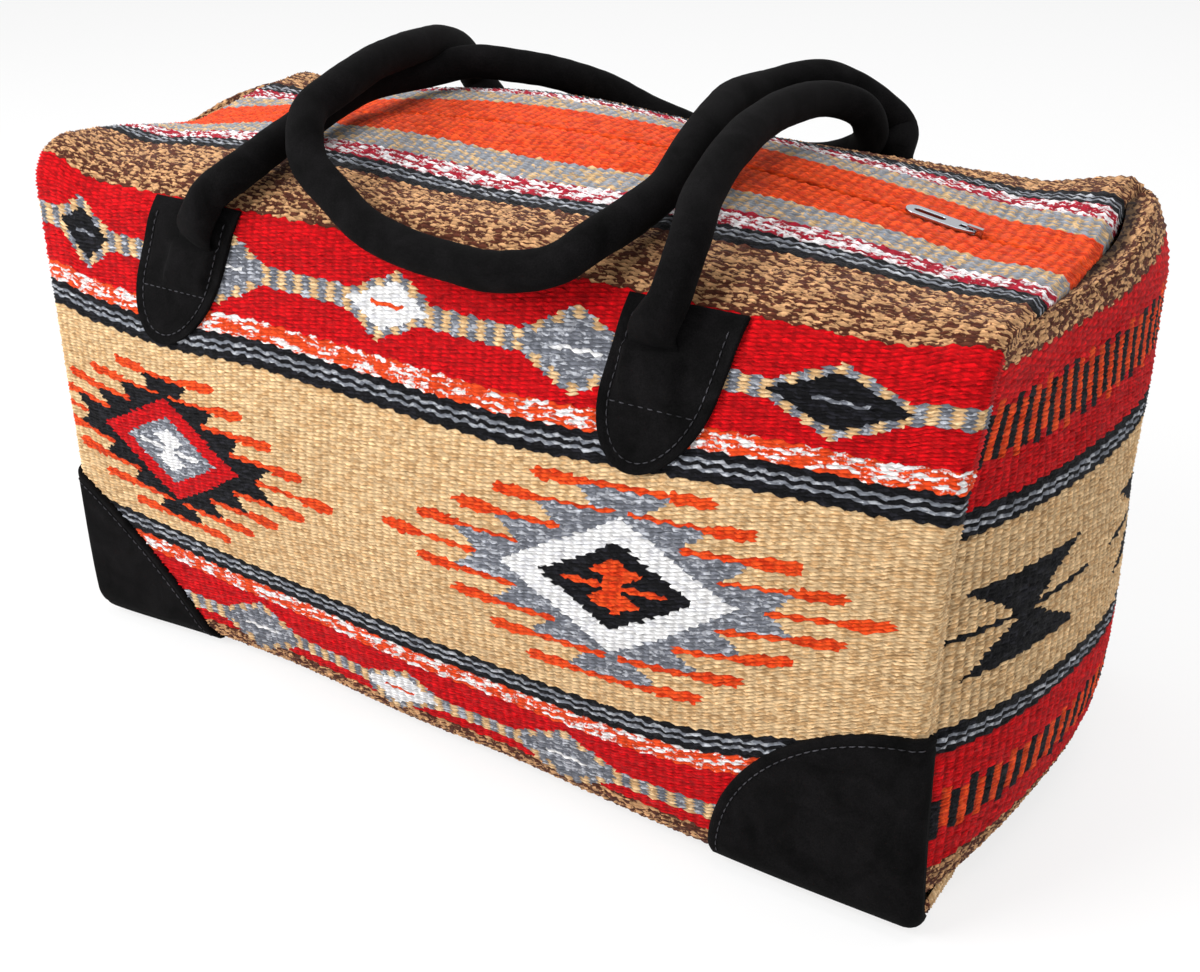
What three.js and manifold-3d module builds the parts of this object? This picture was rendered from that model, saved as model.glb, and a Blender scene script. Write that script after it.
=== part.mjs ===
import * as THREE from 'three';
import ManifoldModule from 'manifold-3d';

const manifold = await ManifoldModule();
manifold.setup();

// Bag body, in millimetres
const LENGTH = 520;
const DEPTH = 232;
const HEIGHT = 268;
const CLOTH = 4;
const TOP_FOLD_RADIUS = 24;
const BOTTOM_FOLD_RADIUS = 16;
// How much further each long face stands out at the floor than at the top
const BASE_SPREAD = 12;
// How far the ridge of the top stands over its long edges at mid length, and under them at the end seams
const TOP_CROWN = 26;
const END_SAG = 4;
const FACE_BULGE = 14;
const END_BULGE = 18;
// Power of the end panels' dome: the higher it is, the closer to the seam they puff up
const END_FULLNESS = 8;
// Rounding of the wrap's two ends where they turn in to the end seams
const SEAM_ROLL = 6;
const SEAM_RECESS = 7;
// Space left between pieces that touch on the real bag
const GAP = 0.3;

// Zip, which follows the ridge
const SLIT_WIDTH = 10;
// Distance of the top stops from the end seams
const ZIP_MARGIN = 38;
const SLIT_TAPER = 14;
const TAPE_WIDTH = 16;
const TAPE_THICKNESS = 0.8;
const CHAIN_WIDTH = 6;
const CHAIN_THICKNESS = 2.2;
const TOOTH_PITCH = 10;
const TOOTH_LENGTH = 4;
const TOOTH_DRAFT = 0.7;
const TOOTH_OVERLAP = 0.9;
const RAIL_WIDTH = 0.9;
const RAIL_STEPS = 14;
const SLIDER_LENGTH = 15;
const SLIDER_PLATE = 1.2;
const SLIDER_FLANGE = 0.9;
const SLIDER_POST = 1.6;
const BAIL_LENGTH = 7.2;
const BAIL_WIDTH = 2.4;
const BAIL_WIRE = 1;
const STOP_LENGTH = 5;
const STOP_PLATE = 1;
const STOP_GRIP = 2.2;
// Bare tape left between a stop and the slider or the teeth
const STOP_CLEARANCE = 2;
const RUNNING_GAP = 0.45;
const PULL_LENGTH = 33;
const PULL_WIDTH = 10.5;
const PULL_THICKNESS = 1.5;
const PULL_SLOT_LENGTH = 15;
const PULL_SLOT_WIDTH = 4;

// Handles and their tabs
const HANDLE_DIAMETER = 18;
const HANDLE_SKIN = 1.4;
const HANDLE_LEAN = 8;
const TAB_SPACING = 273;
const TAB_SHIFT = -18.5;
const TAB_WIDTH = 55;
const TAB_LENGTH = 78;
const TAB_ROUND = 32;
// Sideways set of a tab's top edge and of its round foot from its pocket
const TAB_TOP_SHIFT = 10;
const TAB_FOOT_SHIFT = -3;
const TAB_THICKNESS = 2;
const TAB_SHOULDER = 10;
const SLOT_HEIGHT = 8;
const TONGUE_LENGTH = 20;
const TONGUE_WIDTH = 26;
const TONGUE_THICKNESS = 3.2;
const FLARE_LENGTH = 18;
// Clearance of the flat tongue from the cloth and the tab
const TONGUE_SEAT = 0.6;
// Distance of a tab's top edge below the middle of the top fold, along the cloth
const TAB_DROP = 2;

// Corner patches
const PATCH_WIDTH = 100;
const PATCH_HEIGHT = 86;
// Height of the patch's lower edge over the floor
const PATCH_FOOT = 7;
const PATCH_THICKNESS = 2;

const HALF_LENGTH = LENGTH / 2;
const HALF_DEPTH = DEPTH / 2;
const ZIP_END = HALF_LENGTH - ZIP_MARGIN;
const RIDGE_DROP = TOP_CROWN + END_SAG;
const RIDGE_RADIUS = (HALF_LENGTH ** 2 + RIDGE_DROP ** 2) / (2 * RIDGE_DROP);
const RIDGE_CENTRE_Z = HEIGHT + TOP_CROWN - RIDGE_RADIUS;

// Lengths of the half section, from the zip round to the middle of the underside
const TOP_FLAT = HALF_DEPTH - TOP_FOLD_RADIUS;
const TOP_ARC = (Math.PI / 2) * TOP_FOLD_RADIUS;
const FACE = HEIGHT - TOP_FOLD_RADIUS - BOTTOM_FOLD_RADIUS;
const BOTTOM_ARC = (Math.PI / 2) * BOTTOM_FOLD_RADIUS;
const FLOOR_FLAT = HALF_DEPTH - BOTTOM_FOLD_RADIUS;
const FACE_START = TOP_FLAT + TOP_ARC;
const BOTTOM_START = FACE_START + FACE;
const FLOOR_START = BOTTOM_START + BOTTOM_ARC;
const HALF_WRAP = FLOOR_START + FLOOR_FLAT;
const TOP_FOLD_MIDDLE = TOP_FLAT + TOP_ARC / 2;

const HANDLE_RADIUS = HANDLE_DIAMETER / 2;

// Facets of the soft and round forms
const PANEL_COLUMNS = 5;
const TOP_FOLD_FACETS = 4;
const FACE_FACETS = 6;
const BOTTOM_FOLD_FACETS = 4;
const END_SHARES = [1, 0.95, 0.8, 0.4];
const HANDLE_SIDES = 8;
const ROUND_FACETS = 6;

const FRONT = -1;
const REAR = 1;

function smooth(from, to, value) {
  return THREE.MathUtils.smoothstep(value, from, to);
}

function steps(from, to, count) {
  return Array.from({ length: count + 1 }, (_, i) => from + ((to - from) * i) / count);
}

// Outline of the half section at wrap distance s: place and outward direction, with y counted from mid depth
function section(s) {
  if (s <= TOP_FLAT) {
    return { y: s, z: HEIGHT, ny: 0, nz: 1 };
  }
  if (s <= FACE_START) {
    const turn = (s - TOP_FLAT) / TOP_FOLD_RADIUS;
    const ny = Math.sin(turn);
    const nz = Math.cos(turn);
    return { y: TOP_FLAT + TOP_FOLD_RADIUS * ny, z: HEIGHT - TOP_FOLD_RADIUS * (1 - nz), ny, nz };
  }
  if (s <= BOTTOM_START) {
    return { y: HALF_DEPTH, z: HEIGHT - TOP_FOLD_RADIUS - (s - FACE_START), ny: 1, nz: 0 };
  }
  if (s <= FLOOR_START) {
    const turn = (s - BOTTOM_START) / BOTTOM_FOLD_RADIUS;
    const ny = Math.cos(turn);
    const nz = -Math.sin(turn);
    return { y: FLOOR_FLAT + BOTTOM_FOLD_RADIUS * ny, z: BOTTOM_FOLD_RADIUS * (1 + nz), ny, nz };
  }
  return { y: HALF_WRAP - s, z: 0, ny: 0, nz: -1 };
}

// Wrap distance of a height on the top fold or the face
function wrapDistance(z) {
  const below = HEIGHT - z;
  if (below < TOP_FOLD_RADIUS) {
    return TOP_FLAT + TOP_FOLD_RADIUS * Math.acos(1 - below / TOP_FOLD_RADIUS);
  }
  return FACE_START + below - TOP_FOLD_RADIUS;
}

function ridgeRise(x) {
  return Math.sqrt(RIDGE_RADIUS ** 2 - x ** 2) - RIDGE_RADIUS + TOP_CROWN;
}

// How far the filled bag swells out of the plain rounded box, less the turn-in at the end seams
function swell(x, place, s) {
  const along = Math.min(1, Math.abs(x) / HALF_LENGTH);
  let out = 0;
  if (s < FACE_START) {
    out = ridgeRise(x) * (1 - (place.y / HALF_DEPTH) ** 2);
  } else if (s < FLOOR_START) {
    const up = place.z / (HEIGHT - TOP_FOLD_RADIUS);
    out = FACE_BULGE * Math.max(0, 4 * up * (1 - up)) ** 1.5 * (1 - along ** 2.5);
  }
  const past = Math.min(SEAM_ROLL, Math.max(0, Math.abs(x) - (HALF_LENGTH - SEAM_ROLL)));
  return out - (SEAM_ROLL - Math.sqrt(SEAM_ROLL ** 2 - past ** 2));
}

// Point on the wrap, lifted by the given amount from the outer face of the cloth
function wrapPoint(side, x, s, lift) {
  const place = section(s);
  const out = swell(x, place, s) + lift;
  const z = place.z + place.nz * out;
  const spread = 1 + (BASE_SPREAD / HALF_DEPTH) * Math.max(0, 1 - z / HEIGHT);
  return new THREE.Vector3(x, side * spread * (place.y + place.ny * out), z);
}

function volumeOf(points, faces) {
  let sum = 0;
  for (const [a, b, c] of faces) {
    sum += points[a].dot(new THREE.Vector3().crossVectors(points[b], points[c]));
  }
  return sum / 6;
}

// Closed body from points and triangles, turned so that its faces look out
function body(points, faces) {
  const outward = volumeOf(points, faces) > 0;
  const order = outward ? faces : faces.map(([a, b, c]) => [a, c, b]);
  const geometry = new THREE.BufferGeometry();
  const flat = points.flatMap((p) => [p.x, p.y, p.z]);
  geometry.setAttribute('position', new THREE.Float32BufferAttribute(flat, 3));
  geometry.setIndex(order.flat());
  geometry.computeVertexNormals();
  return geometry;
}

// Sheet of cloth or leather between an outer and an inner grid of points
function sheet(columns, rows, outer, inner) {
  const points = [];
  for (const face of [outer, inner]) {
    for (let j = 0; j <= rows; j += 1) {
      for (let i = 0; i <= columns; i += 1) {
        points.push(face(i, j));
      }
    }
  }
  const layer = (columns + 1) * (rows + 1);
  const at = (k, i, j) => k * layer + j * (columns + 1) + i;
  const faces = [];
  const quad = (a, b, c, d) => faces.push([a, b, c], [a, c, d]);
  for (let j = 0; j < rows; j += 1) {
    for (let i = 0; i < columns; i += 1) {
      quad(at(0, i, j), at(0, i + 1, j), at(0, i + 1, j + 1), at(0, i, j + 1));
      quad(at(1, i, j), at(1, i, j + 1), at(1, i + 1, j + 1), at(1, i + 1, j));
    }
  }
  for (let i = 0; i < columns; i += 1) {
    quad(at(0, i, 0), at(1, i, 0), at(1, i + 1, 0), at(0, i + 1, 0));
    quad(at(0, i, rows), at(0, i + 1, rows), at(1, i + 1, rows), at(1, i, rows));
  }
  for (let j = 0; j < rows; j += 1) {
    quad(at(0, 0, j), at(0, 0, j + 1), at(1, 0, j + 1), at(1, 0, j));
    quad(at(0, columns, j), at(1, columns, j), at(1, columns, j + 1), at(0, columns, j + 1));
  }
  return body(points, faces);
}

// Tube or rod through rings of points; a second set of rings makes it hollow with open ends
function rings(outer, inner) {
  const sides = outer[0].length;
  const last = outer.length - 1;
  const points = outer.flat().concat(inner ? inner.flat() : []);
  const at = (k, n, i) => k * outer.length * sides + n * sides + (i % sides);
  const faces = [];
  const quad = (a, b, c, d) => faces.push([a, b, c], [a, c, d]);
  for (let n = 0; n < last; n += 1) {
    for (let i = 0; i < sides; i += 1) {
      quad(at(0, n, i), at(0, n, i + 1), at(0, n + 1, i + 1), at(0, n + 1, i));
      if (inner) {
        quad(at(1, n, i), at(1, n + 1, i), at(1, n + 1, i + 1), at(1, n, i + 1));
      }
    }
  }
  for (let i = 0; i < sides; i += 1) {
    if (inner) {
      quad(at(0, 0, i), at(1, 0, i), at(1, 0, i + 1), at(0, 0, i + 1));
      quad(at(0, last, i), at(0, last, i + 1), at(1, last, i + 1), at(1, last, i));
    } else if (i > 1) {
      faces.push([at(0, 0, 0), at(0, 0, i), at(0, 0, i - 1)]);
      faces.push([at(0, last, 0), at(0, last, i - 1), at(0, last, i)]);
    }
  }
  return body(points, faces);
}

function toManifold(geometry) {
  const source = geometry.index ? geometry.toNonIndexed() : geometry;
  const position = source.getAttribute('position');
  const mesh = new manifold.Mesh({
    numProp: 3,
    vertProperties: new Float32Array(position.array),
    triVerts: Uint32Array.from({ length: position.count }, (_, i) => i),
  });
  mesh.merge();
  return new manifold.Manifold(mesh);
}

function fromManifold(solid) {
  const mesh = solid.getMesh();
  const points = [];
  for (let i = 0; i < mesh.vertProperties.length; i += mesh.numProp) {
    const [x, y, z] = mesh.vertProperties.slice(i, i + 3);
    points.push(new THREE.Vector3(x, y, z));
  }
  const faces = [];
  for (let i = 0; i < mesh.triVerts.length; i += 3) {
    faces.push([...mesh.triVerts.slice(i, i + 3)]);
  }
  return body(points, faces);
}

function joined(...geometries) {
  return fromManifold(manifold.Manifold.union(geometries.map(toManifold)));
}

function without(geometry, ...cutters) {
  return fromManifold(toManifold(geometry).subtract(manifold.Manifold.union(cutters.map(toManifold))));
}

function block(x0, x1, y0, y1, z0, z1) {
  const geometry = new THREE.BoxGeometry(x1 - x0, y1 - y0, z1 - z0);
  return geometry.translate((x0 + x1) / 2, (y0 + y1) / 2, (z0 + z1) / 2);
}

// Profile in the zip's cross section (y, height) drawn out along x
function drawnAlong(corners, x0, x1) {
  const shape = new THREE.Shape(corners.map(([y, z]) => new THREE.Vector2(y, z)));
  const geometry = new THREE.ExtrudeGeometry(shape, { depth: x1 - x0, bevelEnabled: false });
  const turn = new THREE.Matrix4().makeBasis(
    new THREE.Vector3(0, 1, 0),
    new THREE.Vector3(0, 0, 1),
    new THREE.Vector3(1, 0, 0),
  );
  return geometry.applyMatrix4(turn).translate(x0, 0, 0);
}

// Heights in the zip's cross section, counted from the outer face of the cloth at the ridge
const TAPE_TOP = -CLOTH - GAP;
const TAPE_BOTTOM = TAPE_TOP - TAPE_THICKNESS;
const CHAIN_MIDDLE = (TAPE_TOP + TAPE_BOTTOM) / 2;
const CHAIN_TOP = CHAIN_MIDDLE + CHAIN_THICKNESS / 2;
const CHAIN_BOTTOM = CHAIN_MIDDLE - CHAIN_THICKNESS / 2;
const TAPE_EDGE = CHAIN_WIDTH / 2 + GAP;
const SLIDER_TOP = CHAIN_TOP + RUNNING_GAP + SLIDER_PLATE;
const SLIDER_BOTTOM = CHAIN_BOTTOM - RUNNING_GAP - SLIDER_PLATE;
const SLIDER_INSIDE = CHAIN_WIDTH / 2 + RUNNING_GAP;
const SLIDER_HALF_WIDTH = SLIDER_INSIDE + SLIDER_FLANGE;
const PULL_AXIS = GAP + PULL_THICKNESS / 2;
const BAIL_INSIDE = PULL_AXIS + PULL_THICKNESS / 2 + RUNNING_GAP;
const SLIDER_REST = ZIP_END - STOP_CLEARANCE - SLIDER_LENGTH / 2;
const CHAIN_START = -(ZIP_END - STOP_LENGTH - STOP_CLEARANCE);
const POST_START = SLIDER_LENGTH / 2 - SLIDER_PLATE - SLIDER_POST * 2;
const CHAIN_FINISH = SLIDER_REST + POST_START - RUNNING_GAP;

// Turns a rigid zip piece, made level at the middle of the ridge, to distance x along the ridge
function onRidge(geometry, x) {
  geometry.translate(0, 0, RIDGE_RADIUS);
  geometry.rotateY(x / RIDGE_RADIUS);
  return geometry.translate(0, 0, RIDGE_CENTRE_Z);
}

// Bends a long zip piece, made level, to the ridge
function bentToRidge(geometry) {
  const position = geometry.getAttribute('position');
  for (let i = 0; i < position.count; i += 1) {
    const turn = position.getX(i) / RIDGE_RADIUS;
    const radius = RIDGE_RADIUS + position.getZ(i);
    position.setX(i, radius * Math.sin(turn));
    position.setZ(i, RIDGE_CENTRE_Z + radius * Math.cos(turn));
  }
  return geometry;
}

// Beyond the stops the two edges of the cloth come together
const SLIT_END = ZIP_END + STOP_LENGTH + STOP_CLEARANCE;

function slitHalfWidth(x) {
  const closing = smooth(SLIT_END, SLIT_END + SLIT_TAPER, Math.abs(x));
  return THREE.MathUtils.lerp(SLIT_WIDTH / 2, GAP / 2, closing);
}

// Grid of the wrap: one length of cloth from the zip round the front, underside and back to the zip again
function wrapGrid() {
  const inside = steps(0, SLIT_END, PANEL_COLUMNS);
  const taper = [SLIT_END + SLIT_TAPER];
  const roll = [HALF_LENGTH - SEAM_ROLL, HALF_LENGTH - SEAM_ROLL * 0.3, HALF_LENGTH];
  const right = inside.concat(taper, roll);
  const xs = right.slice(1).reverse().map((x) => -x).concat(right);
  const half = [0]
    .concat(steps(TAPE_EDGE + TAPE_WIDTH, TOP_FLAT, 2))
    .concat(steps(TOP_FLAT, FACE_START, TOP_FOLD_FACETS).slice(1))
    .concat(steps(FACE_START, BOTTOM_START, FACE_FACETS).slice(1))
    .concat(steps(BOTTOM_START, FLOOR_START, BOTTOM_FOLD_FACETS).slice(1))
    .concat(HALF_WRAP);
  const front = half.map((s) => [FRONT, s]);
  const rear = half.slice(0, -1).reverse().map((s) => [REAR, s]);
  return { xs, half, stations: front.concat(rear) };
}

// Point lifted from the flat facets of the cloth, for pieces that seat on it
function clothPoint(side, x, s, lift) {
  const { xs, half } = wrapGrid();
  const cell = (list, value) => list.findIndex((_, k) => k === list.length - 2 || value < list[k + 1]);
  const i = cell(xs, x);
  const j = cell(half, s);
  const u = (x - xs[i]) / (xs[i + 1] - xs[i]);
  const v = (s - half[j]) / (half[j + 1] - half[j]);
  const row = (k) => wrapPoint(side, xs[i], half[k], lift).lerp(wrapPoint(side, xs[i + 1], half[k], lift), u);
  return row(j).lerp(row(j + 1), v);
}

// Layer that follows the cloth between two lifts from its outer face
function wrapLayer(outer, inner) {
  const { xs, stations } = wrapGrid();
  const place = (lift) => (i, j) => {
    const [side, s] = stations[j];
    return wrapPoint(side, xs[i], Math.max(s, slitHalfWidth(xs[i])), lift);
  };
  return sheet(xs.length - 1, stations.length - 1, place(outer), place(inner));
}

// End of the bag: a domed panel whose rim lies inside the turned-in ends of the wrap
function endPanel(end) {
  const rimX = HALF_LENGTH - SEAM_RECESS;
  const rows = wrapGrid().half.slice(0, -1);
  const outline = rows.slice().reverse().map((s) => [FRONT, s]).concat(rows.slice(1).map((s) => [REAR, s]));
  const middle = new THREE.Vector3(0, 0, HEIGHT / 2);
  const layer = (depth) =>
    END_SHARES.map((share) =>
      outline.map(([side, s]) => {
        const rim = wrapPoint(side, rimX, s, -CLOTH - GAP);
        const point = rim.clone().setX(0).lerp(middle, 1 - share);
        const rise = END_BULGE * (1 - share ** END_FULLNESS);
        return point.setX(end * (rimX + rise - depth));
      }),
    );
  return rings([...layer(CLOTH).reverse(), ...layer(0)]);
}

function zipTape(side) {
  const xs = wrapGrid().xs.filter((x) => Math.abs(x) <= SLIT_END + SLIT_TAPER);
  const ys = [TAPE_EDGE, TAPE_EDGE + TAPE_WIDTH];
  const place = (lift) => (i, j) => wrapPoint(side, xs[i], ys[j], lift);
  return sheet(xs.length - 1, ys.length - 1, place(TAPE_TOP), place(TAPE_BOTTOM));
}

// Row of moulded teeth on one tape: a rail with teeth that reach in between those of the other row
function zipTeeth(side) {
  const outside = CHAIN_WIDTH / 2;
  const count = Math.floor((CHAIN_FINISH - CHAIN_START) / TOOTH_PITCH - 0.5);
  const shift = side === FRONT ? 0 : TOOTH_PITCH / 2;
  const shape = new THREE.Shape();
  shape.moveTo(CHAIN_START, outside);
  for (let k = 0; k < count; k += 1) {
    const x = CHAIN_START + GAP + shift + k * TOOTH_PITCH;
    shape.lineTo(x, outside - RAIL_WIDTH);
    shape.lineTo(x + TOOTH_DRAFT, -TOOTH_OVERLAP);
    shape.lineTo(x + TOOTH_LENGTH - TOOTH_DRAFT, -TOOTH_OVERLAP);
    shape.lineTo(x + TOOTH_LENGTH, outside - RAIL_WIDTH);
  }
  shape.lineTo(CHAIN_FINISH, outside - RAIL_WIDTH);
  for (const x of steps(CHAIN_FINISH, CHAIN_START, RAIL_STEPS).slice(0, -1)) {
    shape.lineTo(x, outside);
  }
  const geometry = new THREE.ExtrudeGeometry(shape, { depth: CHAIN_THICKNESS, bevelEnabled: false });
  geometry.translate(0, 0, CHAIN_BOTTOM);
  if (side === FRONT) {
    geometry.rotateX(Math.PI).translate(0, 0, CHAIN_TOP + CHAIN_BOTTOM);
  }
  return bentToRidge(geometry);
}

// Slider: two plates with turned-in flanges, joined by the post that parts the teeth, and a bail for the pull
function zipSlider() {
  const halfLength = SLIDER_LENGTH / 2;
  const flangeTop = TAPE_TOP + RUNNING_GAP;
  const flangeBottom = TAPE_BOTTOM - RUNNING_GAP;
  const topPlate = drawnAlong(
    [
      [-SLIDER_HALF_WIDTH, flangeTop],
      [-SLIDER_INSIDE, flangeTop],
      [-SLIDER_INSIDE, SLIDER_TOP - SLIDER_PLATE],
      [SLIDER_INSIDE, SLIDER_TOP - SLIDER_PLATE],
      [SLIDER_INSIDE, flangeTop],
      [SLIDER_HALF_WIDTH, flangeTop],
      [SLIDER_HALF_WIDTH, SLIDER_TOP],
      [-SLIDER_HALF_WIDTH, SLIDER_TOP],
    ],
    -halfLength,
    halfLength,
  );
  const bottomPlate = drawnAlong(
    [
      [-SLIDER_HALF_WIDTH, SLIDER_BOTTOM],
      [SLIDER_HALF_WIDTH, SLIDER_BOTTOM],
      [SLIDER_HALF_WIDTH, flangeBottom],
      [SLIDER_INSIDE, flangeBottom],
      [SLIDER_INSIDE, SLIDER_BOTTOM + SLIDER_PLATE],
      [-SLIDER_INSIDE, SLIDER_BOTTOM + SLIDER_PLATE],
      [-SLIDER_INSIDE, flangeBottom],
      [-SLIDER_HALF_WIDTH, flangeBottom],
    ],
    -halfLength,
    halfLength,
  );
  const sink = SLIDER_PLATE / 2;
  const post = block(
    POST_START,
    POST_START + SLIDER_POST * 2,
    -SLIDER_POST / 2,
    SLIDER_POST / 2,
    SLIDER_BOTTOM + sink,
    SLIDER_TOP - sink,
  );
  const bailOutside = block(
    -BAIL_LENGTH / 2,
    BAIL_LENGTH / 2,
    -BAIL_WIDTH / 2,
    BAIL_WIDTH / 2,
    SLIDER_TOP - sink,
    BAIL_INSIDE + BAIL_WIRE,
  );
  const bailOpening = block(
    BAIL_WIRE - BAIL_LENGTH / 2,
    BAIL_LENGTH / 2 - BAIL_WIRE,
    -BAIL_WIDTH,
    BAIL_WIDTH,
    SLIDER_TOP,
    BAIL_INSIDE,
  );
  const bail = without(bailOutside, bailOpening);
  return onRidge(joined(topPlate, bottomPlate, post, bail), SLIDER_REST);
}

function stadium(target, x0, x1, width) {
  const radius = width / 2;
  target.absarc(x0 + radius, 0, radius, Math.PI / 2, (3 * Math.PI) / 2, false);
  target.absarc(x1 - radius, 0, radius, -Math.PI / 2, Math.PI / 2, false);
  target.closePath();
  return target;
}

// Pull: a long loop whose end bar turns in the slider's bail
function zipPull() {
  const bar = PULL_THICKNESS / 2;
  const shape = new THREE.Shape();
  const corner = PULL_WIDTH / 2;
  shape.moveTo(bar, -BAIL_WIDTH);
  shape.lineTo(bar, BAIL_WIDTH);
  shape.lineTo(-BAIL_LENGTH, corner);
  shape.absarc(corner - PULL_LENGTH, 0, corner, Math.PI / 2, (3 * Math.PI) / 2, false);
  shape.lineTo(-BAIL_LENGTH, -corner);
  shape.closePath();
  const window = new THREE.Path();
  const windowHalf = BAIL_WIDTH / 2 + RUNNING_GAP;
  window.moveTo(-bar, -windowHalf);
  window.lineTo(-BAIL_LENGTH, -windowHalf);
  window.lineTo(-BAIL_LENGTH, windowHalf);
  window.lineTo(-bar, windowHalf);
  window.closePath();
  const slotStart = PULL_SLOT_WIDTH - PULL_LENGTH;
  const slot = stadium(new THREE.Path(), slotStart, slotStart + PULL_SLOT_LENGTH, PULL_SLOT_WIDTH);
  shape.holes.push(window, slot);
  const settings = { depth: PULL_THICKNESS, bevelEnabled: false, curveSegments: ROUND_FACETS };
  const geometry = new THREE.ExtrudeGeometry(shape, settings);
  geometry.translate(0, 0, PULL_AXIS - PULL_THICKNESS / 2);
  return onRidge(geometry, SLIDER_REST);
}

// Bottom stop: holds the edges of both tapes between two plates on one web
function bottomStop() {
  const web = TAPE_EDGE - GAP;
  const reach = TAPE_EDGE + STOP_GRIP / 2;
  const above = TAPE_TOP + GAP;
  const below = TAPE_BOTTOM - GAP;
  const profile = [
    [-reach, below - STOP_PLATE],
    [reach, below - STOP_PLATE],
    [reach, below],
    [web, below],
    [web, above],
    [reach, above],
    [reach, above + STOP_PLATE],
    [-reach, above + STOP_PLATE],
    [-reach, above],
    [-web, above],
    [-web, below],
    [-reach, below],
  ];
  return onRidge(drawnAlong(profile, -STOP_LENGTH / 2, STOP_LENGTH / 2), -ZIP_END + STOP_LENGTH / 2);
}

// Top stop: a clip on the edge of one tape
function topStop(side) {
  const web = TAPE_EDGE - GAP;
  const reach = TAPE_EDGE + STOP_GRIP / 2;
  const above = TAPE_TOP + GAP;
  const below = TAPE_BOTTOM - GAP;
  const profile = [
    [web - STOP_PLATE, below - STOP_PLATE],
    [reach, below - STOP_PLATE],
    [reach, below],
    [web, below],
    [web, above],
    [reach, above],
    [reach, above + STOP_PLATE],
    [web - STOP_PLATE, above + STOP_PLATE],
  ].map(([y, z]) => [side * y, z]);
  return onRidge(drawnAlong(profile, 0, STOP_LENGTH), ZIP_END);
}

const TAB_TOP_Z = section(TOP_FOLD_MIDDLE + TAB_DROP).z;

function tabX(end) {
  return TAB_SHIFT + (end * TAB_SPACING) / 2;
}

// Prism that cuts a front-view outline (x, z) out of a layer on one side of the bag
function faceCutter(side, shape, x, z) {
  const depth = TOP_FOLD_RADIUS + BOTTOM_FOLD_RADIUS + FACE_BULGE + HANDLE_DIAMETER;
  const settings = { depth, bevelEnabled: false, curveSegments: ROUND_FACETS };
  const geometry = new THREE.ExtrudeGeometry(shape, settings);
  geometry.rotateX(Math.PI / 2);
  const start = HALF_DEPTH + FACE_BULGE + HANDLE_DIAMETER;
  return geometry.translate(x, side === FRONT ? depth - start : start, z);
}

function rectangle(x0, x1, z0, z1) {
  const corners = [[x0, z0], [x1, z0], [x1, z1], [x0, z1]];
  return new THREE.Shape(corners.map(([x, z]) => new THREE.Vector2(x, z)));
}

function common(a, b) {
  return fromManifold(toManifold(a).intersect(toManifold(b)));
}

// Leather shield: straight along the top, round below
function tabOutline() {
  const half = TAB_WIDTH / 2;
  const shape = new THREE.Shape();
  const foot = TAB_ROUND - TAB_LENGTH;
  shape.moveTo(TAB_TOP_SHIFT - half, 0);
  shape.lineTo(TAB_FOOT_SHIFT - half, foot);
  shape.absellipse(TAB_FOOT_SHIFT, foot, half, TAB_ROUND, Math.PI, 2 * Math.PI, false);
  shape.lineTo(TAB_TOP_SHIFT + half, 0);
  shape.closePath();
  return shape;
}

const POCKET_START = TAB_SHOULDER + SLOT_HEIGHT;
const POCKET_END = POCKET_START + TONGUE_LENGTH + GAP;
const POCKET_RISE = TONGUE_SEAT + TONGUE_THICKNESS + TONGUE_SEAT;

// Handle tab: flat on the cloth at its shoulder, with a slot under it and a raised pocket for the tongue
function handleTab(side, end) {
  const place = (shape) => faceCutter(side, shape, tabX(end), TAB_TOP_Z);
  const inner = TONGUE_WIDTH / 2 + GAP;
  const outer = inner + TAB_THICKNESS;
  const flat = common(wrapLayer(GAP + TAB_THICKNESS, GAP), place(tabOutline()));
  const raised = common(
    wrapLayer(POCKET_RISE + TAB_THICKNESS, GAP),
    place(rectangle(-outer, outer, -POCKET_END - TAB_THICKNESS, -POCKET_START)),
  );
  const hollow = common(
    wrapLayer(POCKET_RISE, -CLOTH),
    place(rectangle(-inner, inner, -POCKET_END, -TAB_SHOULDER)),
  );
  const slot = place(rectangle(-outer, outer, -POCKET_START, -TAB_SHOULDER));
  return without(joined(flat, raised), hollow, slot);
}

// Sizes of the handle at distance d from its sewn end: a flat tongue that opens out to the round grip
function handleShape(d) {
  const share = smooth(TONGUE_LENGTH, TONGUE_LENGTH + FLARE_LENGTH, d);
  const climb = smooth(TONGUE_LENGTH - GAP, TONGUE_LENGTH + SLOT_HEIGHT - GAP, d);
  const halfThick = THREE.MathUtils.lerp(TONGUE_THICKNESS / 2, HANDLE_RADIUS, share);
  const halfWide = THREE.MathUtils.lerp(TONGUE_WIDTH / 2, HANDLE_RADIUS, share);
  const under = THREE.MathUtils.lerp(TONGUE_SEAT, GAP + TAB_THICKNESS + TONGUE_SEAT, climb);
  return { halfThick, halfWide, lift: under + halfThick, lean: HANDLE_LEAN * share ** 2 };
}

const FLARE_DISTANCES = steps(0.1, 1, 4).map((share) => TONGUE_LENGTH + share * FLARE_LENGTH);
const END_DISTANCES = [0, TONGUE_LENGTH / 2, TONGUE_LENGTH - GAP].concat(FLARE_DISTANCES);

// Sewn end of a handle: centres of its rings from the tip of the tongue up the face of the bag
function handleEnd(side, end) {
  return END_DISTANCES.map((d) => {
    const s = wrapDistance(TAB_TOP_Z - POCKET_START - TONGUE_LENGTH + d);
    const { lift, lean } = handleShape(d);
    return clothPoint(side, tabX(end) + lean, s, lift);
  });
}

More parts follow.
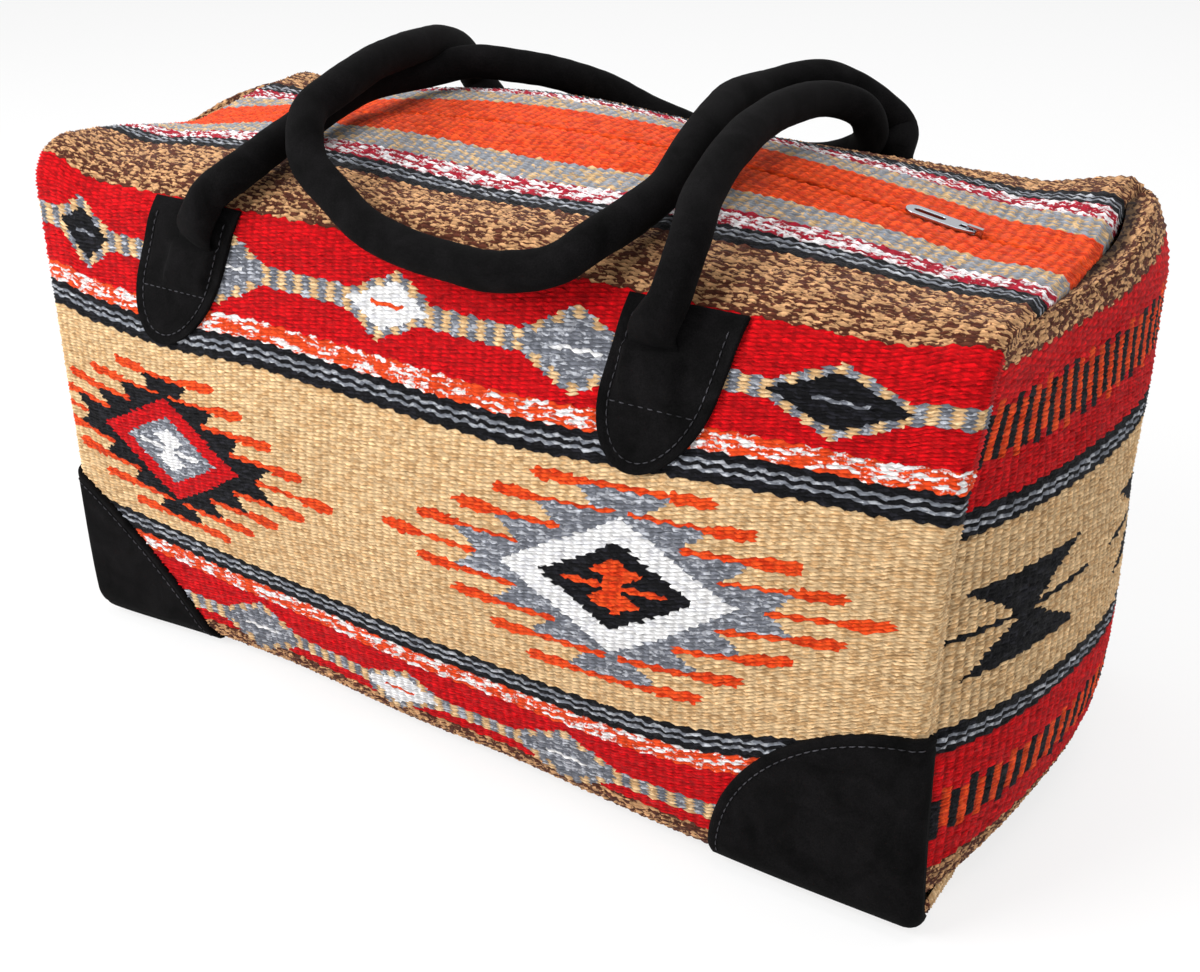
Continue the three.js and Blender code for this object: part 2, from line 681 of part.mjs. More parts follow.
// Route of each handle as it lies: share of the half tab spacing, share of the way from the zip to the front
// (negative) or rear fold, and clear height of the skin over the cloth in handle diameters
const FRONT_ROUTE = [
  [-0.77, -0.93, 0.22],
  [-0.76, -0.8, 0.14],
  [-0.77, -0.55, 0.11],
  [-0.76, -0.26, 0.3],
  [-0.76, 0.04, 0.42],
  [-0.7, 0.3, 0.2],
  [-0.6, 0.51, 0.39],
  [-0.45, 0.62, 0.52],
  [-0.33, 0.78, 0.48],
  [-0.21, 0.9, 0.37],
  [0.01, 1.02, 0.56],
  [0.35, 1.08, 0.5],
  [0.71, 1.08, 0.43],
  [0.92, 1, 0.15],
  [0.99, 0.91, 0.35],
  [0.98, 0.86, 0.82],
  [0.92, 0.73, 1.04],
  [0.89, 0.43, 0.9],
  [0.9, 0.02, 0.82],
  [0.96, -0.43, 0.94],
  [1.01, -0.75, 0.84],
  [1.06, -0.9, 0.51],
];

const REAR_ROUTE = [
  [-0.9, 0.97, 0.71],
  [-0.83, 0.84, 0.86],
  [-0.75, 0.51, 1.19],
  [-0.67, 0.12, 1.42],
  [-0.62, -0.22, 1.43],
  [-0.56, -0.55, 1.45],
  [-0.55, -0.73, 1.29],
  [-0.5, -0.84, 0.98],
  [-0.43, -0.89, 0.51],
  [-0.27, -0.95, 0.24],
  [-0.07, -1.02, 0.24],
  [0.13, -1.05, 0.33],
  [0.3, -1.06, 0.34],
  [0.5, -1.06, 0.45],
  [0.68, -1.02, 0.42],
  [0.77, -0.95, 0.39],
  [0.81, -0.84, 0.22],
  [0.81, -0.59, 0.2],
  [0.77, -0.21, 0.5],
  [0.68, 0.3, 0.62],
  [0.64, 0.69, 1.11],
  [0.68, 0.85, 1.61],
  [0.77, 0.88, 1.78],
  [0.83, 0.94, 1.94],
  [0.94, 0.96, 1.66],
  [1.01, 1.02, 1.53],
];

function routePoint([along, around, clear]) {
  const x = TAB_SHIFT + (along * TAB_SPACING) / 2;
  const side = around < 0 ? FRONT : REAR;
  return wrapPoint(side, x, Math.abs(around) * TOP_FOLD_MIDDLE, HANDLE_RADIUS + clear * HANDLE_DIAMETER);
}

// Rings' centres and half sizes of one handle, from its left sewn end to its right one
function handleLine(side, route) {
  const left = handleEnd(side, -1);
  const right = handleEnd(side, 1);
  const knots = [...left.slice(-2), ...route.map(routePoint), ...right.slice(-2).reverse()];
  const curve = new THREE.CatmullRomCurve3(knots, false, 'centripetal');
  const spans = knots.length - 1;
  const loop = steps(1, spans - 1, spans - 2).map((k) => curve.getPoint(k / spans));
  const ends = END_DISTANCES.map(handleShape);
  const grip = { halfThick: HANDLE_RADIUS, halfWide: HANDLE_RADIUS };
  const centres = [...left.slice(0, -1), ...loop, ...right.slice(0, -1).reverse()];
  const sizes = [...ends.slice(0, -1), ...loop.map(() => grip), ...ends.slice(0, -1).reverse()];
  return { centres, sizes };
}

// Sideways directions carried along the line, with a twist over the free part that levels both sewn ends
function sideways(centres) {
  const last = centres.length - 1;
  const tangents = centres.map((_, i) =>
    new THREE.Vector3().subVectors(centres[Math.min(last, i + 1)], centres[Math.max(0, i - 1)]).normalize(),
  );
  const level = (tangent) => new THREE.Vector3(1, 0, 0).addScaledVector(tangent, -tangent.x).normalize();
  const across = [level(tangents[0])];
  for (let i = 1; i <= last; i += 1) {
    const carried = across[i - 1].clone();
    across.push(carried.addScaledVector(tangents[i], -carried.dot(tangents[i])).normalize());
  }
  const wanted = level(tangents[last]);
  const cross = new THREE.Vector3().crossVectors(across[last], wanted);
  let turn = Math.atan2(cross.dot(tangents[last]), across[last].dot(wanted));
  if (turn > Math.PI / 2) {
    turn -= Math.PI;
  } else if (turn < -Math.PI / 2) {
    turn += Math.PI;
  }
  const sewn = END_DISTANCES.length;
  const twist = (i) => turn * smooth(sewn, last - sewn, i);
  const twisted = across.map((v, i) => v.clone().applyAxisAngle(tangents[i], twist(i)));
  return twisted.map((v, i) => ({ across: v, up: new THREE.Vector3().crossVectors(tangents[i], v) }));
}

function handleRings({ centres, sizes }, inset, sides) {
  const frames = sideways(centres);
  return centres.map((centre, i) =>
    Array.from({ length: sides }, (_, k) => {
      const angle = (2 * Math.PI * (k + 0.5)) / sides;
      const wide = Math.cos(angle) * (sizes[i].halfWide - inset);
      const thick = Math.sin(angle) * (sizes[i].halfThick - inset);
      return centre.clone().addScaledVector(frames[i].across, wide).addScaledVector(frames[i].up, thick);
    }),
  );
}

function handleCover(side, route) {
  const line = handleLine(side, route);
  return rings(handleRings(line, 0, HANDLE_SIDES), handleRings(line, HANDLE_SKIN, HANDLE_SIDES));
}

function handleCore(side, route) {
  const line = handleLine(side, route);
  const cut = END_DISTANCES.length;
  const within = handleRings(line, HANDLE_SKIN + GAP, HANDLE_SIDES).slice(cut, -cut);
  return rings(within);
}

// Corner patch: a quarter round of leather sewn into the end seam, from the face down round the bottom fold
function cornerPatch(side, end) {
  const edge = HALF_LENGTH - GAP;
  const shape = new THREE.Shape();
  shape.moveTo(0, 0);
  shape.lineTo(-end * PATCH_WIDTH, 0);
  shape.absellipse(0, 0, PATCH_WIDTH, PATCH_HEIGHT, end > 0 ? Math.PI : 0, Math.PI / 2, end > 0);
  shape.closePath();
  const cutter = faceCutter(side, shape, end * edge, PATCH_FOOT);
  return common(wrapLayer(GAP + PATCH_THICKNESS, GAP), cutter);
}

const WOOL = { color: 0xb08a5a, roughness: 0.95, metalness: 0 };
const SUEDE = { color: 0x17161a, roughness: 0.9, metalness: 0 };
const ROPE = { color: 0xcfc4ae, roughness: 0.9, metalness: 0 };
const TAPE = { color: 0x2a2a2c, roughness: 0.8, metalness: 0 };
const MOULDED = { color: 0x1c1c1e, roughness: 0.5, metalness: 0 };
const CHROME = { color: 0xc9ccd0, roughness: 0.15, metalness: 1 };

const bag = new THREE.Group();
bag.name = 'travel_bag';

function add(name, geometry, look) {
  const mesh = new THREE.Mesh(geometry, new THREE.MeshStandardMaterial({ ...look }));
  mesh.name = name;
  bag.add(mesh);
}

add('main_panel', wrapLayer(0, -CLOTH), WOOL);
add('zip_slider', zipSlider(), CHROME);
add('zip_pull', zipPull(), CHROME);
add('zip_bottom_stop', bottomStop(), CHROME);
for (const [place, side] of [['front', FRONT], ['rear', REAR]]) {
  const route = side === FRONT ? FRONT_ROUTE : REAR_ROUTE;
  add(`zip_tape_${place}`, zipTape(side), TAPE);
  add(`zip_teeth_${place}`, zipTeeth(side), MOULDED);
  add(`zip_top_stop_${place}`, topStop(side), CHROME);
  add(`handle_cover_${place}`, handleCover(side, route), SUEDE);
  add(`handle_core_${place}`, handleCore(side, route), ROPE);
}
for (const [hand, end] of [['left', -1], ['right', 1]]) {
  add(`end_panel_${hand}`, endPanel(end), WOOL);
  for (const [place, side] of [['front', FRONT], ['rear', REAR]]) {
    add(`handle_tab_${place}_${hand}`, handleTab(side, end), SUEDE);
    add(`corner_patch_${place}_${hand}`, cornerPatch(side, end), SUEDE);
  }
}

export default bag;
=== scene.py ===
"""Hand-woven wool travel bag with black suede handles, tabs and corner patches, dressed around its frame."""

from __future__ import annotations

import logging
import math
from dataclasses import dataclass, field
from enum import Enum

import bmesh
import bpy
import numpy as np
from mathutils import Matrix, Vector

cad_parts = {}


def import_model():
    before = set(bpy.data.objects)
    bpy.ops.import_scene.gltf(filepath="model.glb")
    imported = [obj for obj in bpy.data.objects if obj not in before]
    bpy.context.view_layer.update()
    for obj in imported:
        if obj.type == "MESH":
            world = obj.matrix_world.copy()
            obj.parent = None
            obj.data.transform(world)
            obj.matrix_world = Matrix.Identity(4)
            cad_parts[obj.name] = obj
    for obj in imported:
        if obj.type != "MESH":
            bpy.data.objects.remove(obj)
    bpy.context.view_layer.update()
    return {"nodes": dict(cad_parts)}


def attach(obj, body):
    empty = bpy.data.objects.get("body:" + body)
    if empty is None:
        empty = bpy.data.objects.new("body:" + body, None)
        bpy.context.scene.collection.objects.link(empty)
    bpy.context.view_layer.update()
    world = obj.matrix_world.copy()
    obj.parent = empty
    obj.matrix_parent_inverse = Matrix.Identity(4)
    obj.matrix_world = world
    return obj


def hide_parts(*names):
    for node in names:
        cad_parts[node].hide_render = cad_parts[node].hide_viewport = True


LOG = logging.getLogger("travel_bag")
MM = 0.001
SEED = 11
# Leather: width of its rounded edge, least distance from the rim at its poles, and its height over the cloth
BEVEL_WIDTH = 0.0012
RIM_START = 0.0002
LEATHER_SEAT = 0.0003


class Side(Enum):
    """Long sides of the bag; the value is the direction along Y."""

    FRONT = -1
    REAR = 1


class End(Enum):
    """Short ends of the bag; the value is the direction along X."""

    LEFT = -1
    RIGHT = 1


class Body(Enum):
    """Bodies of the frame that pieces ride on."""

    BAG = "bag"
    PULL = "pull"


class Slot(Enum):
    """Material slots of the pieces that are added."""

    WOOL = "wool_weave"
    SUEDE = "black_suede"
    ROPE = "rope"
    METAL = "bright_metal"


def linear(colour: tuple[int, int, int]) -> np.ndarray:
    """Turns an sRGB colour of 0 to 255 into linear light.

    Args:
        colour: red, green and blue.

    Returns:
        Three values from 0 to 1.
    """
    share = np.array(colour, float) / 255
    return np.where(share <= 0.04045, share / 12.92, ((share + 0.055) / 1.055) ** 2.4)


def smooth(start: float, stop: float, value: np.ndarray) -> np.ndarray:
    """Rises from 0 at start to 1 at stop along the curve 3t^2 - 2t^3.

    Args:
        start: value where the rise begins.
        stop: value where it ends.
        value: values to ease.

    Returns:
        Eased shares of the same form as value.
    """
    share = np.clip((value - start) / (stop - start), 0, 1)
    return share * share * (3 - 2 * share)


def grid_faces(rows: int, columns: int, around: bool = False) -> np.ndarray:
    """Lists the quads of a grid of points stored row by row.

    Args:
        rows: number of point rows.
        columns: number of points in a row.
        around: whether each row closes on itself.

    Returns:
        Array of four point numbers a face.
    """
    i = np.arange(columns if around else columns - 1)
    j = np.arange(rows - 1)[:, None]
    a = j * columns + i
    b = j * columns + (i + 1) % columns
    return np.stack([a, b, b + columns, a + columns], axis=-1).reshape(-1, 4)


def shell_faces(rows: int, columns: int) -> np.ndarray:
    """Lists the quads of a closed sheet: an outer grid, an inner grid and the rim between them.

    Args:
        rows: number of point rows in each grid.
        columns: number of points in a row.

    Returns:
        Array of four point numbers a face, for the outer points followed by the inner ones.
    """
    outer = grid_faces(rows, columns)
    layer = rows * columns
    inner = outer[:, ::-1] + layer
    order = np.arange(layer).reshape(rows, columns)
    rim = np.concatenate([order[0, :-1], order[:-1, -1], order[-1, :0:-1], order[:0:-1, 0]])
    after = np.roll(rim, -1)
    wall = np.stack([after, rim, rim + layer, after + layer], axis=-1)
    return np.concatenate([outer, inner, wall])


def turned_out(points: np.ndarray, faces: np.ndarray) -> np.ndarray:
    """Turns a closed body's faces so that its volume, the sum of its corner tetrahedra, comes out positive.

    Args:
        points: places, one row each.
        faces: four point numbers a face.

    Returns:
        The faces in an order that looks outwards.
    """
    a, b, c, d = (points[faces[:, k]] for k in range(4))
    volume = np.einsum("ij,ij->", a, np.cross(b, c)) + np.einsum("ij,ij->", a, np.cross(c, d))
    return faces if volume > 0 else faces[:, ::-1]


def make_piece(name: str, points: np.ndarray, faces: np.ndarray,
               material: bpy.types.Material) -> bpy.types.Object:
    """Puts arrays of points and quads into a smooth mesh object at the origin.

    Args:
        name: object and mesh name.
        points: places in metres, one row each.
        faces: four point numbers a face.
        material: finish of the whole piece.

    Returns:
        The linked object.
    """
    mesh = bpy.data.meshes.new(name)
    mesh.vertices.add(len(points))
    mesh.vertices.foreach_set("co", np.ascontiguousarray(points, np.float32).ravel())
    mesh.loops.add(faces.size)
    mesh.loops.foreach_set("vertex_index", np.ascontiguousarray(faces, np.int32).ravel())
    mesh.polygons.add(len(faces))
    mesh.polygons.foreach_set("loop_start", np.arange(0, faces.size, 4, dtype=np.int32))
    mesh.polygons.foreach_set("use_smooth", np.ones(len(faces), bool))
    mesh.update(calc_edges=True)
    mesh.materials.append(material)
    piece = bpy.data.objects.new(name, mesh)
    bpy.context.collection.objects.link(piece)
    return piece


def weld(piece: bpy.types.Object, distance: float = 1e-6) -> None:
    """Merges points that fall together, such as those of a pole, and drops the faces that this empties."""
    form = bmesh.new()
    form.from_mesh(piece.data)
    bmesh.ops.remove_doubles(form, verts=form.verts, dist=distance)
    form.to_mesh(piece.data)
    form.free()


def leather_piece(name: str, outer: np.ndarray, inner: np.ndarray,
                  material: bpy.types.Material) -> bpy.types.Object:
    """Closes two grids into a sheet of leather and merges the points of its poles.

    Args:
        name: piece name.
        outer: grid of places on the outer face.
        inner: grid of places on the inner face.
        material: leather finish.

    Returns:
        The piece.
    """
    points = np.concatenate([outer.reshape(-1, 3), inner.reshape(-1, 3)])
    piece = make_piece(name, points, turned_out(points, shell_faces(*outer.shape[:2])), material)
    weld(piece)
    return piece


def edge_drop(rim: np.ndarray, seam_in: float, bevel: float, groove: float,
              groove_width: float) -> np.ndarray:
    """How far leather drops near its edge: a round bevel at the rim and a bell-shaped groove at the seam.

    Args:
        rim: distance from the edge.
        seam_in: distance of the seam from the edge.
        bevel: depth of the bevel.
        groove: depth of the groove.
        groove_width: half width of the groove.

    Returns:
        Distances into the leather.
    """
    short = 1 - np.clip(rim / BEVEL_WIDTH, 0, 1)
    round_edge = bevel * (1 - np.sqrt(np.clip(1 - short**2, 0, 1)))
    return round_edge + groove * np.exp(-(((rim - seam_in) / groove_width) ** 2))


def run_along(places: np.ndarray) -> np.ndarray:
    """Distance of each place along a line from the line's start."""
    return np.concatenate([[0], np.cumsum(np.linalg.norm(np.diff(places, axis=0), axis=1))])


def settle(piece: bpy.types.Object, body: Body, slot: Slot, *nodes: str) -> bpy.types.Object:
    """Lets a piece ride on a body and hides the frame nodes that it stands for.

    Args:
        piece: finished object.
        body: body that carries it.
        slot: not used.
        nodes: frame nodes that it replaces.

    Returns:
        The same object.
    """
    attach(piece, body.value)
    if nodes:
        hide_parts(*nodes)
    LOG.info("%s rides on %s, %d faces", piece.name, body.value, len(piece.data.polygons))
    return piece


@dataclass(frozen=True)
class Slump:
    """The way the soft bag stands: how far its parts move from the even form, in millimetres."""

    left_in: float = 3.8
    left_lean: float = 7.8
    left_foot: float = 5.0
    right_foot: float = 5.0
    right_in: float = 2.0
    right_top: float = 6.0
    right_waist: float = 11.2
    right_rear: float = 8.0
    front_in: float = 3.0
    front_left: float = 3.0
    front_middle: float = 9.0
    front_right: float = 11.0
    rear_out: float = 6.0
    left_rise: float = 11.0
    right_rise: float = 6.0
    zip_hold: float = 48.0
    rear_rise: float = 2.0
    rear_left: float = 4.0
    rear_right: float = 2.0
    rear_corner: float = 5.0
    top_dip: float = 7.0
    top_fill: float = 6.0
    bell: float = 0.35

    def move(self, points: np.ndarray, half: tuple[float, float], height: float) -> np.ndarray:
        """Moves places from the even form to the way the soft bag stands.

        The left end leans out at the top and in at the floor. The right end is drawn in half way up and
        out at its front top corner. The front's foot stands further out on the right than on the left, and
        the rear is fuller on the right. Both ends of the top rise a little, but the zip holds the left one
        down. Between them the top dips before the zip and fills behind it, as bell curves along the bag. All
        of it eases in along the bag, across it and with height.

        Args:
            points: places with X, Y and Z on the last axis.
            half: half length and half depth of the bag.
            height: height of the bag.

        Returns:
            Moved places.
        """
        x, y, z = np.moveaxis(points, -1, 0)
        t, q = x / half[0], y / half[1]
        k = np.clip(z / height, 0, 1)
        left, right = smooth(0.15, 1.0, -t), smooth(0.15, 1.0, t)
        front, rear = smooth(0.0, 0.08, -y), smooth(0.0, 0.08, y)
        high, end, corner = smooth(0.75, 1.0, k), smooth(0.80, 1.0, np.abs(t)), smooth(0.6, 1.0, -t)
        lean = self.left_in - self.left_lean * k**1.5 + self.left_foot * (1 - k) ** 12
        drawn = self.right_foot * (1 - k) ** 3 - self.right_in + self.right_top * smooth(0.62, 0.98, k)
        drawn = drawn - self.right_waist * k * (1 - k) - self.right_rear * rear * smooth(0.88, 1.0, k)
        foot = self.front_in + self.front_left * corner - self.front_right * smooth(0.0, 0.8, t)
        foot = foot + self.front_middle * smooth(0.0, 0.5, -t) * (1 - corner)
        free = 1 - np.exp(-((y / (self.zip_hold * MM)) ** 2))
        rise = np.where(t < 0, self.left_rise * free, self.right_rise)
        behind = self.rear_rise - self.rear_left * left + (self.rear_right + self.rear_corner * end) * right
        dip = np.exp(-((t / self.bell) ** 2)) * smooth(0.05, 0.4, -q) * (1 - smooth(0.55, 0.95, -q))
        fill = np.exp(-((t / self.bell + 1) ** 2)) * smooth(0.05, 0.5, q) * (1 - smooth(0.85, 1.0, q))
        dx = left * lean + right * drawn
        dy = front * (1 - k) ** 1.2 * foot + self.rear_out * rear * right
        dz = high * (end * rise + rear * behind + self.top_fill * fill - self.top_dip * dip)
        return points + MM * np.stack([dx, dy, dz], axis=-1)


@dataclass(frozen=True)
class BagForm:
    """Outer face of the filled bag, by length along it and distance round it from the zip, in metres."""

    length: float = 0.520
    depth: float = 0.232
    height: float = 0.268
    top_fold: float = 0.024
    bottom_fold: float = 0.016
    base_spread: float = 0.012
    crown: float = 0.026
    end_sag: float = 0.004
    face_bulge: float = 0.014
    seam_roll: float = 0.006
    seam_recess: float = 0.007
    ripple: float = 0.0016
    slump: Slump = Slump()

    @property
    def half_length(self) -> float:
        """Half of the bag's length."""
        return self.length / 2

    @property
    def half_depth(self) -> float:
        """Half of the bag's depth."""
        return self.depth / 2

    @property
    def top_flat(self) -> float:
        """Distance from the zip to the start of the top fold."""
        return self.half_depth - self.top_fold

    @property
    def face_start(self) -> float:
        """Distance from the zip to the upper edge of the face."""
        return self.top_flat + self.top_fold * math.pi / 2

    @property
    def bottom_start(self) -> float:
        """Distance from the zip to the start of the bottom fold."""
        return self.face_start + self.height - self.top_fold - self.bottom_fold

    @property
    def floor_start(self) -> float:
        """Distance from the zip to the edge of the flat underside."""
        return self.bottom_start + self.bottom_fold * math.pi / 2

    @property
    def half_wrap(self) -> float:
        """Distance from the zip to the middle of the underside."""
        return self.floor_start + self.half_depth - self.bottom_fold

    @property
    def ridge_radius(self) -> float:
        """Radius of the arc that the zip follows."""
        drop = self.crown + self.end_sag
        return (self.half_length**2 + drop**2) / (2 * drop)

    def ridge(self, x: np.ndarray) -> np.ndarray:
        """Height of the zip's arc over the long edges of the top."""
        along = np.minimum(np.abs(x), self.half_length)
        return np.sqrt(self.ridge_radius**2 - along**2) - self.ridge_radius + self.crown

    def turned_in(self, turn: float) -> float:
        """Length along the cloth to where its end has turned in by an angle."""
        return self.half_length - self.seam_roll + self.seam_roll * turn

    def section(self, s: np.ndarray) -> tuple[np.ndarray, np.ndarray, np.ndarray, np.ndarray]:
        """Half section of a box with round folds.

        The run goes along the flat top, round the top fold, down the face, round the bottom fold and in under
        the bag; the outward direction turns from up to down with the two folds.

        Args:
            s: distance from the zip round the bag.

        Returns:
            Depth from the middle, height, and the outward direction's parts along depth and height.
        """
        over = np.clip((s - self.top_flat) / self.top_fold, 0, math.pi / 2)
        under = np.clip((s - self.bottom_start) / self.bottom_fold, 0, math.pi / 2)
        inward = np.maximum(0, s - self.floor_start)
        y = np.minimum(s, self.top_flat) + self.top_fold * np.sin(over)
        y = y - self.bottom_fold * (1 - np.cos(under)) - inward
        face = np.clip(s - self.face_start, 0, self.bottom_start - self.face_start)
        z = self.height - self.top_fold * (1 - np.cos(over)) - face - self.bottom_fold * np.sin(under)
        return y, z, np.sin(over + under), np.cos(over + under)

    def swell(self, x: np.ndarray, y: np.ndarray, z: np.ndarray, s: np.ndarray) -> np.ndarray:
        """How far the filled bag stands out of the rounded box.

        The top rises with the zip's arc and falls to nothing at its long edges as a parabola. The faces bulge
        as a parabola to the power 1.5 over their height, less towards the ends.

        Args:
            x: place along the bag.
            y: depth of the section from the middle.
            z: height of the section.
            s: distance from the zip.

        Returns:
            Distances along the outward direction.
        """
        along = np.minimum(1, np.abs(x) / self.half_length)
        top = self.ridge(x) * (1 - (y / self.half_depth) ** 2)
        up = z / (self.height - self.top_fold)
        face = self.face_bulge * np.maximum(0, 4 * up * (1 - up)) ** 1.5 * (1 - along**2.5)
        return np.where(s < self.face_start, top, np.where(s < self.floor_start, face, 0))

    def waves(self, x: np.ndarray, s: np.ndarray) -> np.ndarray:
        """Shallow waviness of hand-sewn cloth: three crossed sines that die out at the seams, zip and floor.

        Args:
            x: place along the bag.
            s: signed distance from the zip, below zero on the front.

        Returns:
            Distances along the outward direction.
        """
        away = np.abs(s)
        wave = 0.5 * np.sin(x * 29 + s * 7 + 1.3) + 0.3 * np.sin(x * 47 - s * 13 + 4.1)
        wave = wave + 0.4 * np.sin(s * 41 + x * 9)
        calm = (1 - np.minimum(1, np.abs(x) / self.half_length) ** 4) * smooth(0.02, 0.09, away)
        return self.ripple * wave * calm * (1 - smooth(0.30, 0.39, away))

    def point(self, u: np.ndarray, s: np.ndarray, lift: np.ndarray | float = 0.0) -> np.ndarray:
        """Place on the bag's outer face.

        Past the start of the seam roll the length coordinate runs round a quarter circle and on towards the
        inside, so the face turns in to the end seam.

        Args:
            u: length along the cloth from the middle of the bag.
            s: signed distance round the bag from the zip, below zero on the front.
            lift: distance out of the face.

        Returns:
            Places with X, Y and Z on the last axis.
        """
        u, s, lift = np.broadcast_arrays(u, s, lift)
        straight = self.half_length - self.seam_roll
        turn = np.maximum(0, np.abs(u) - straight) / self.seam_roll
        turned = self.seam_roll + lift
        x = np.sign(u) * (np.minimum(np.abs(u), straight) + turned * np.sin(turn))
        side = np.where(s < 0, -1.0, 1.0)
        away = np.abs(s)
        y, z, ny, nz = self.section(away)
        flat_x = np.clip(x, -self.half_length, self.half_length)
        out = self.swell(flat_x, y, z, away) + self.waves(flat_x, s) - self.seam_roll + turned * np.cos(turn)
        up = z + nz * out
        return self.slumped(np.stack([x, side * self.spread(up) * (y + ny * out), up], axis=-1))

    def slumped(self, points: np.ndarray) -> np.ndarray:
        """Moves places from the even form to the way the soft bag stands."""
        return self.slump.move(points, (self.half_length, self.half_depth), self.height)

    def spread(self, z: np.ndarray) -> np.ndarray:
        """How many times wider than the plain box the bag is at a height, most at the floor."""
        return 1 + self.base_spread / self.half_depth * np.maximum(0, 1 - z / self.height)

    def distance(self, z: np.ndarray) -> np.ndarray:
        """Distance from the zip of a height on the folds or the face.

        Args:
            z: heights over the floor.

        Returns:
            Distances round the bag.
        """
        below = np.clip(1 - (self.height - z) / self.top_fold, -1, 1)
        above = np.clip(1 - z / self.bottom_fold, -1, 1)
        fold = self.top_flat + self.top_fold * np.arccos(np.maximum(0, below))
        low = self.bottom_start + self.bottom_fold * np.arcsin(np.maximum(0, above))
        face = self.face_start + self.height - self.top_fold - z
        return np.where(z > self.height - self.top_fold, fold, np.where(z < self.bottom_fold, low, face))


@dataclass(frozen=True)
class Yarn:
    """Dyed wool: two colours, the second one's share, unevenness, and whether it comes in long dashes."""

    main: tuple[int, int, int]
    fleck: tuple[int, int, int]
    share: float = 0.4
    spread: float = 0.06
    long: bool = False


class Wool(Enum):
    """Wefts of the bag."""

    RED = Yarn((212, 8, 18), (180, 4, 14))
    ORANGE = Yarn((242, 82, 30), (216, 58, 18))
    TAN = Yarn((236, 200, 152), (212, 170, 120), 0.45, 0.05)
    BROWN = Yarn((90, 48, 34), (214, 164, 116), 0.46, 0.08)
    GRAY = Yarn((116, 119, 128), (184, 187, 195), 0.36, 0.07)
    BLACK = Yarn((17, 17, 20), (32, 32, 38), 0.35, 0.10)
    STRIPE = Yarn((126, 130, 139), (182, 185, 192), 0.40, 0.07)
    WHITE = Yarn((250, 249, 249), (232, 232, 236), 0.35, 0.03)
    GRAY_TAN = Yarn((150, 154, 162), (214, 178, 130), 0.42, 0.06)
    CRIMSON_WHITE = Yarn((172, 14, 44), (248, 242, 244), 0.46, 0.06, True)
    ORANGE_WHITE = Yarn((238, 76, 30), (252, 248, 247), 0.40, 0.05, True)
    BLACK_GRAY = Yarn((17, 17, 20), (126, 130, 139))


WOOLS = list(Wool)
WOOL_ID = {wool: number for number, wool in enumerate(WOOLS)}


@dataclass(frozen=True)
class Medallion:
    """Diamond with a border, a small figure and rows of spiked teeth on both sides, in metres."""

    middle: float
    across: float
    half_width: float
    half_height: float
    inner: float
    row: float
    reach: float
    step: float
    border: Wool
    ground: Wool
    figure: Wool
    tooth: Wool
    spike: Wool = Wool.ORANGE
    rows: int = 4
    tooth_back: float = 0.0205
    gap: float = 0.0125
    thick: float = 0.0056
    thin: float = 0.0026

    def paint(self, wool: np.ndarray, u: np.ndarray, v: np.ndarray) -> None:
        """Draws the medallion into an array of wefts.

        With a and b the distances from the middle along and across, the teeth fill a below a saw line that
        runs, within each row, from just outside the diamond at the row's inner edge to the tooth's tip at its
        outer edge. A spike lies along each row line from the saw line's start to its reach. The diamond and
        its inner field are where a over half width plus b over half height is below 1 and below the inner
        share.

        Args:
            wool: weft numbers, changed in place.
            u: length along the cloth.
            v: distance across the cloth.
        """
        a = np.abs(u - self.middle)
        b = np.abs(v - self.across)
        level = b / self.row
        below = np.floor(level)
        start = np.maximum(0, self.half_width * (1 - below * self.row / self.half_height)) + self.gap
        tip = self.reach - (below + 1) * self.step - self.tooth_back
        edge = start + (tip - start) * (level - below)
        wool[(b < self.rows * self.row) & (a < edge)] = WOOL_ID[self.tooth]
        line = np.minimum(np.round(level), self.rows)
        reach = self.reach - line * self.step
        inside = np.maximum(0, self.half_width * (1 - line * self.row / self.half_height)) + self.gap
        inside = np.where(line == self.rows, 0, np.where(line == self.rows - 1, 0.004, inside))
        thick = self.thin + (self.thick - self.thin) * smooth(-0.006, 0.004, a - (reach - self.tooth_back))
        thick = thick * (1 - smooth(-0.004, 0.001, a - reach) * 0.6)
        off = np.abs(b - line * self.row)
        wool[(off < thick / 2) & (a > inside) & (a < reach)] = WOOL_ID[self.spike]
        diamond = a / self.half_width + b / self.half_height
        wool[diamond < 1] = WOOL_ID[self.border]
        wool[diamond < self.inner] = WOOL_ID[self.ground]
        self.draw_figure(wool, a, b)

    def draw_figure(self, wool: np.ndarray, a: np.ndarray, b: np.ndarray) -> None:
        """Draws two lobes over and under a thin bar, as shares of the diamond.

        Args:
            wool: weft numbers, changed in place.
            a: distance along from the middle.
            b: distance across from the middle.
        """
        lobe = a / (0.24 * self.half_width) + np.abs(b - 0.21 * self.half_height) / (0.18 * self.half_height)
        waist = (a < 0.08 * self.half_width) & (b < 0.22 * self.half_height)
        bar = (b < self.thin / 2) & (a < 0.44 * self.half_width)
        wool[(lobe < 1) | waist | bar] = WOOL_ID[self.figure]


@dataclass(frozen=True)
class Link:
    """One diamond of the chain: place along the cloth, half sizes, fill, the dash inside and its slant."""

    middle: float
    half_width: float
    half_height: float
    fill: Wool
    dash: Wool
    slant: float = 0.0


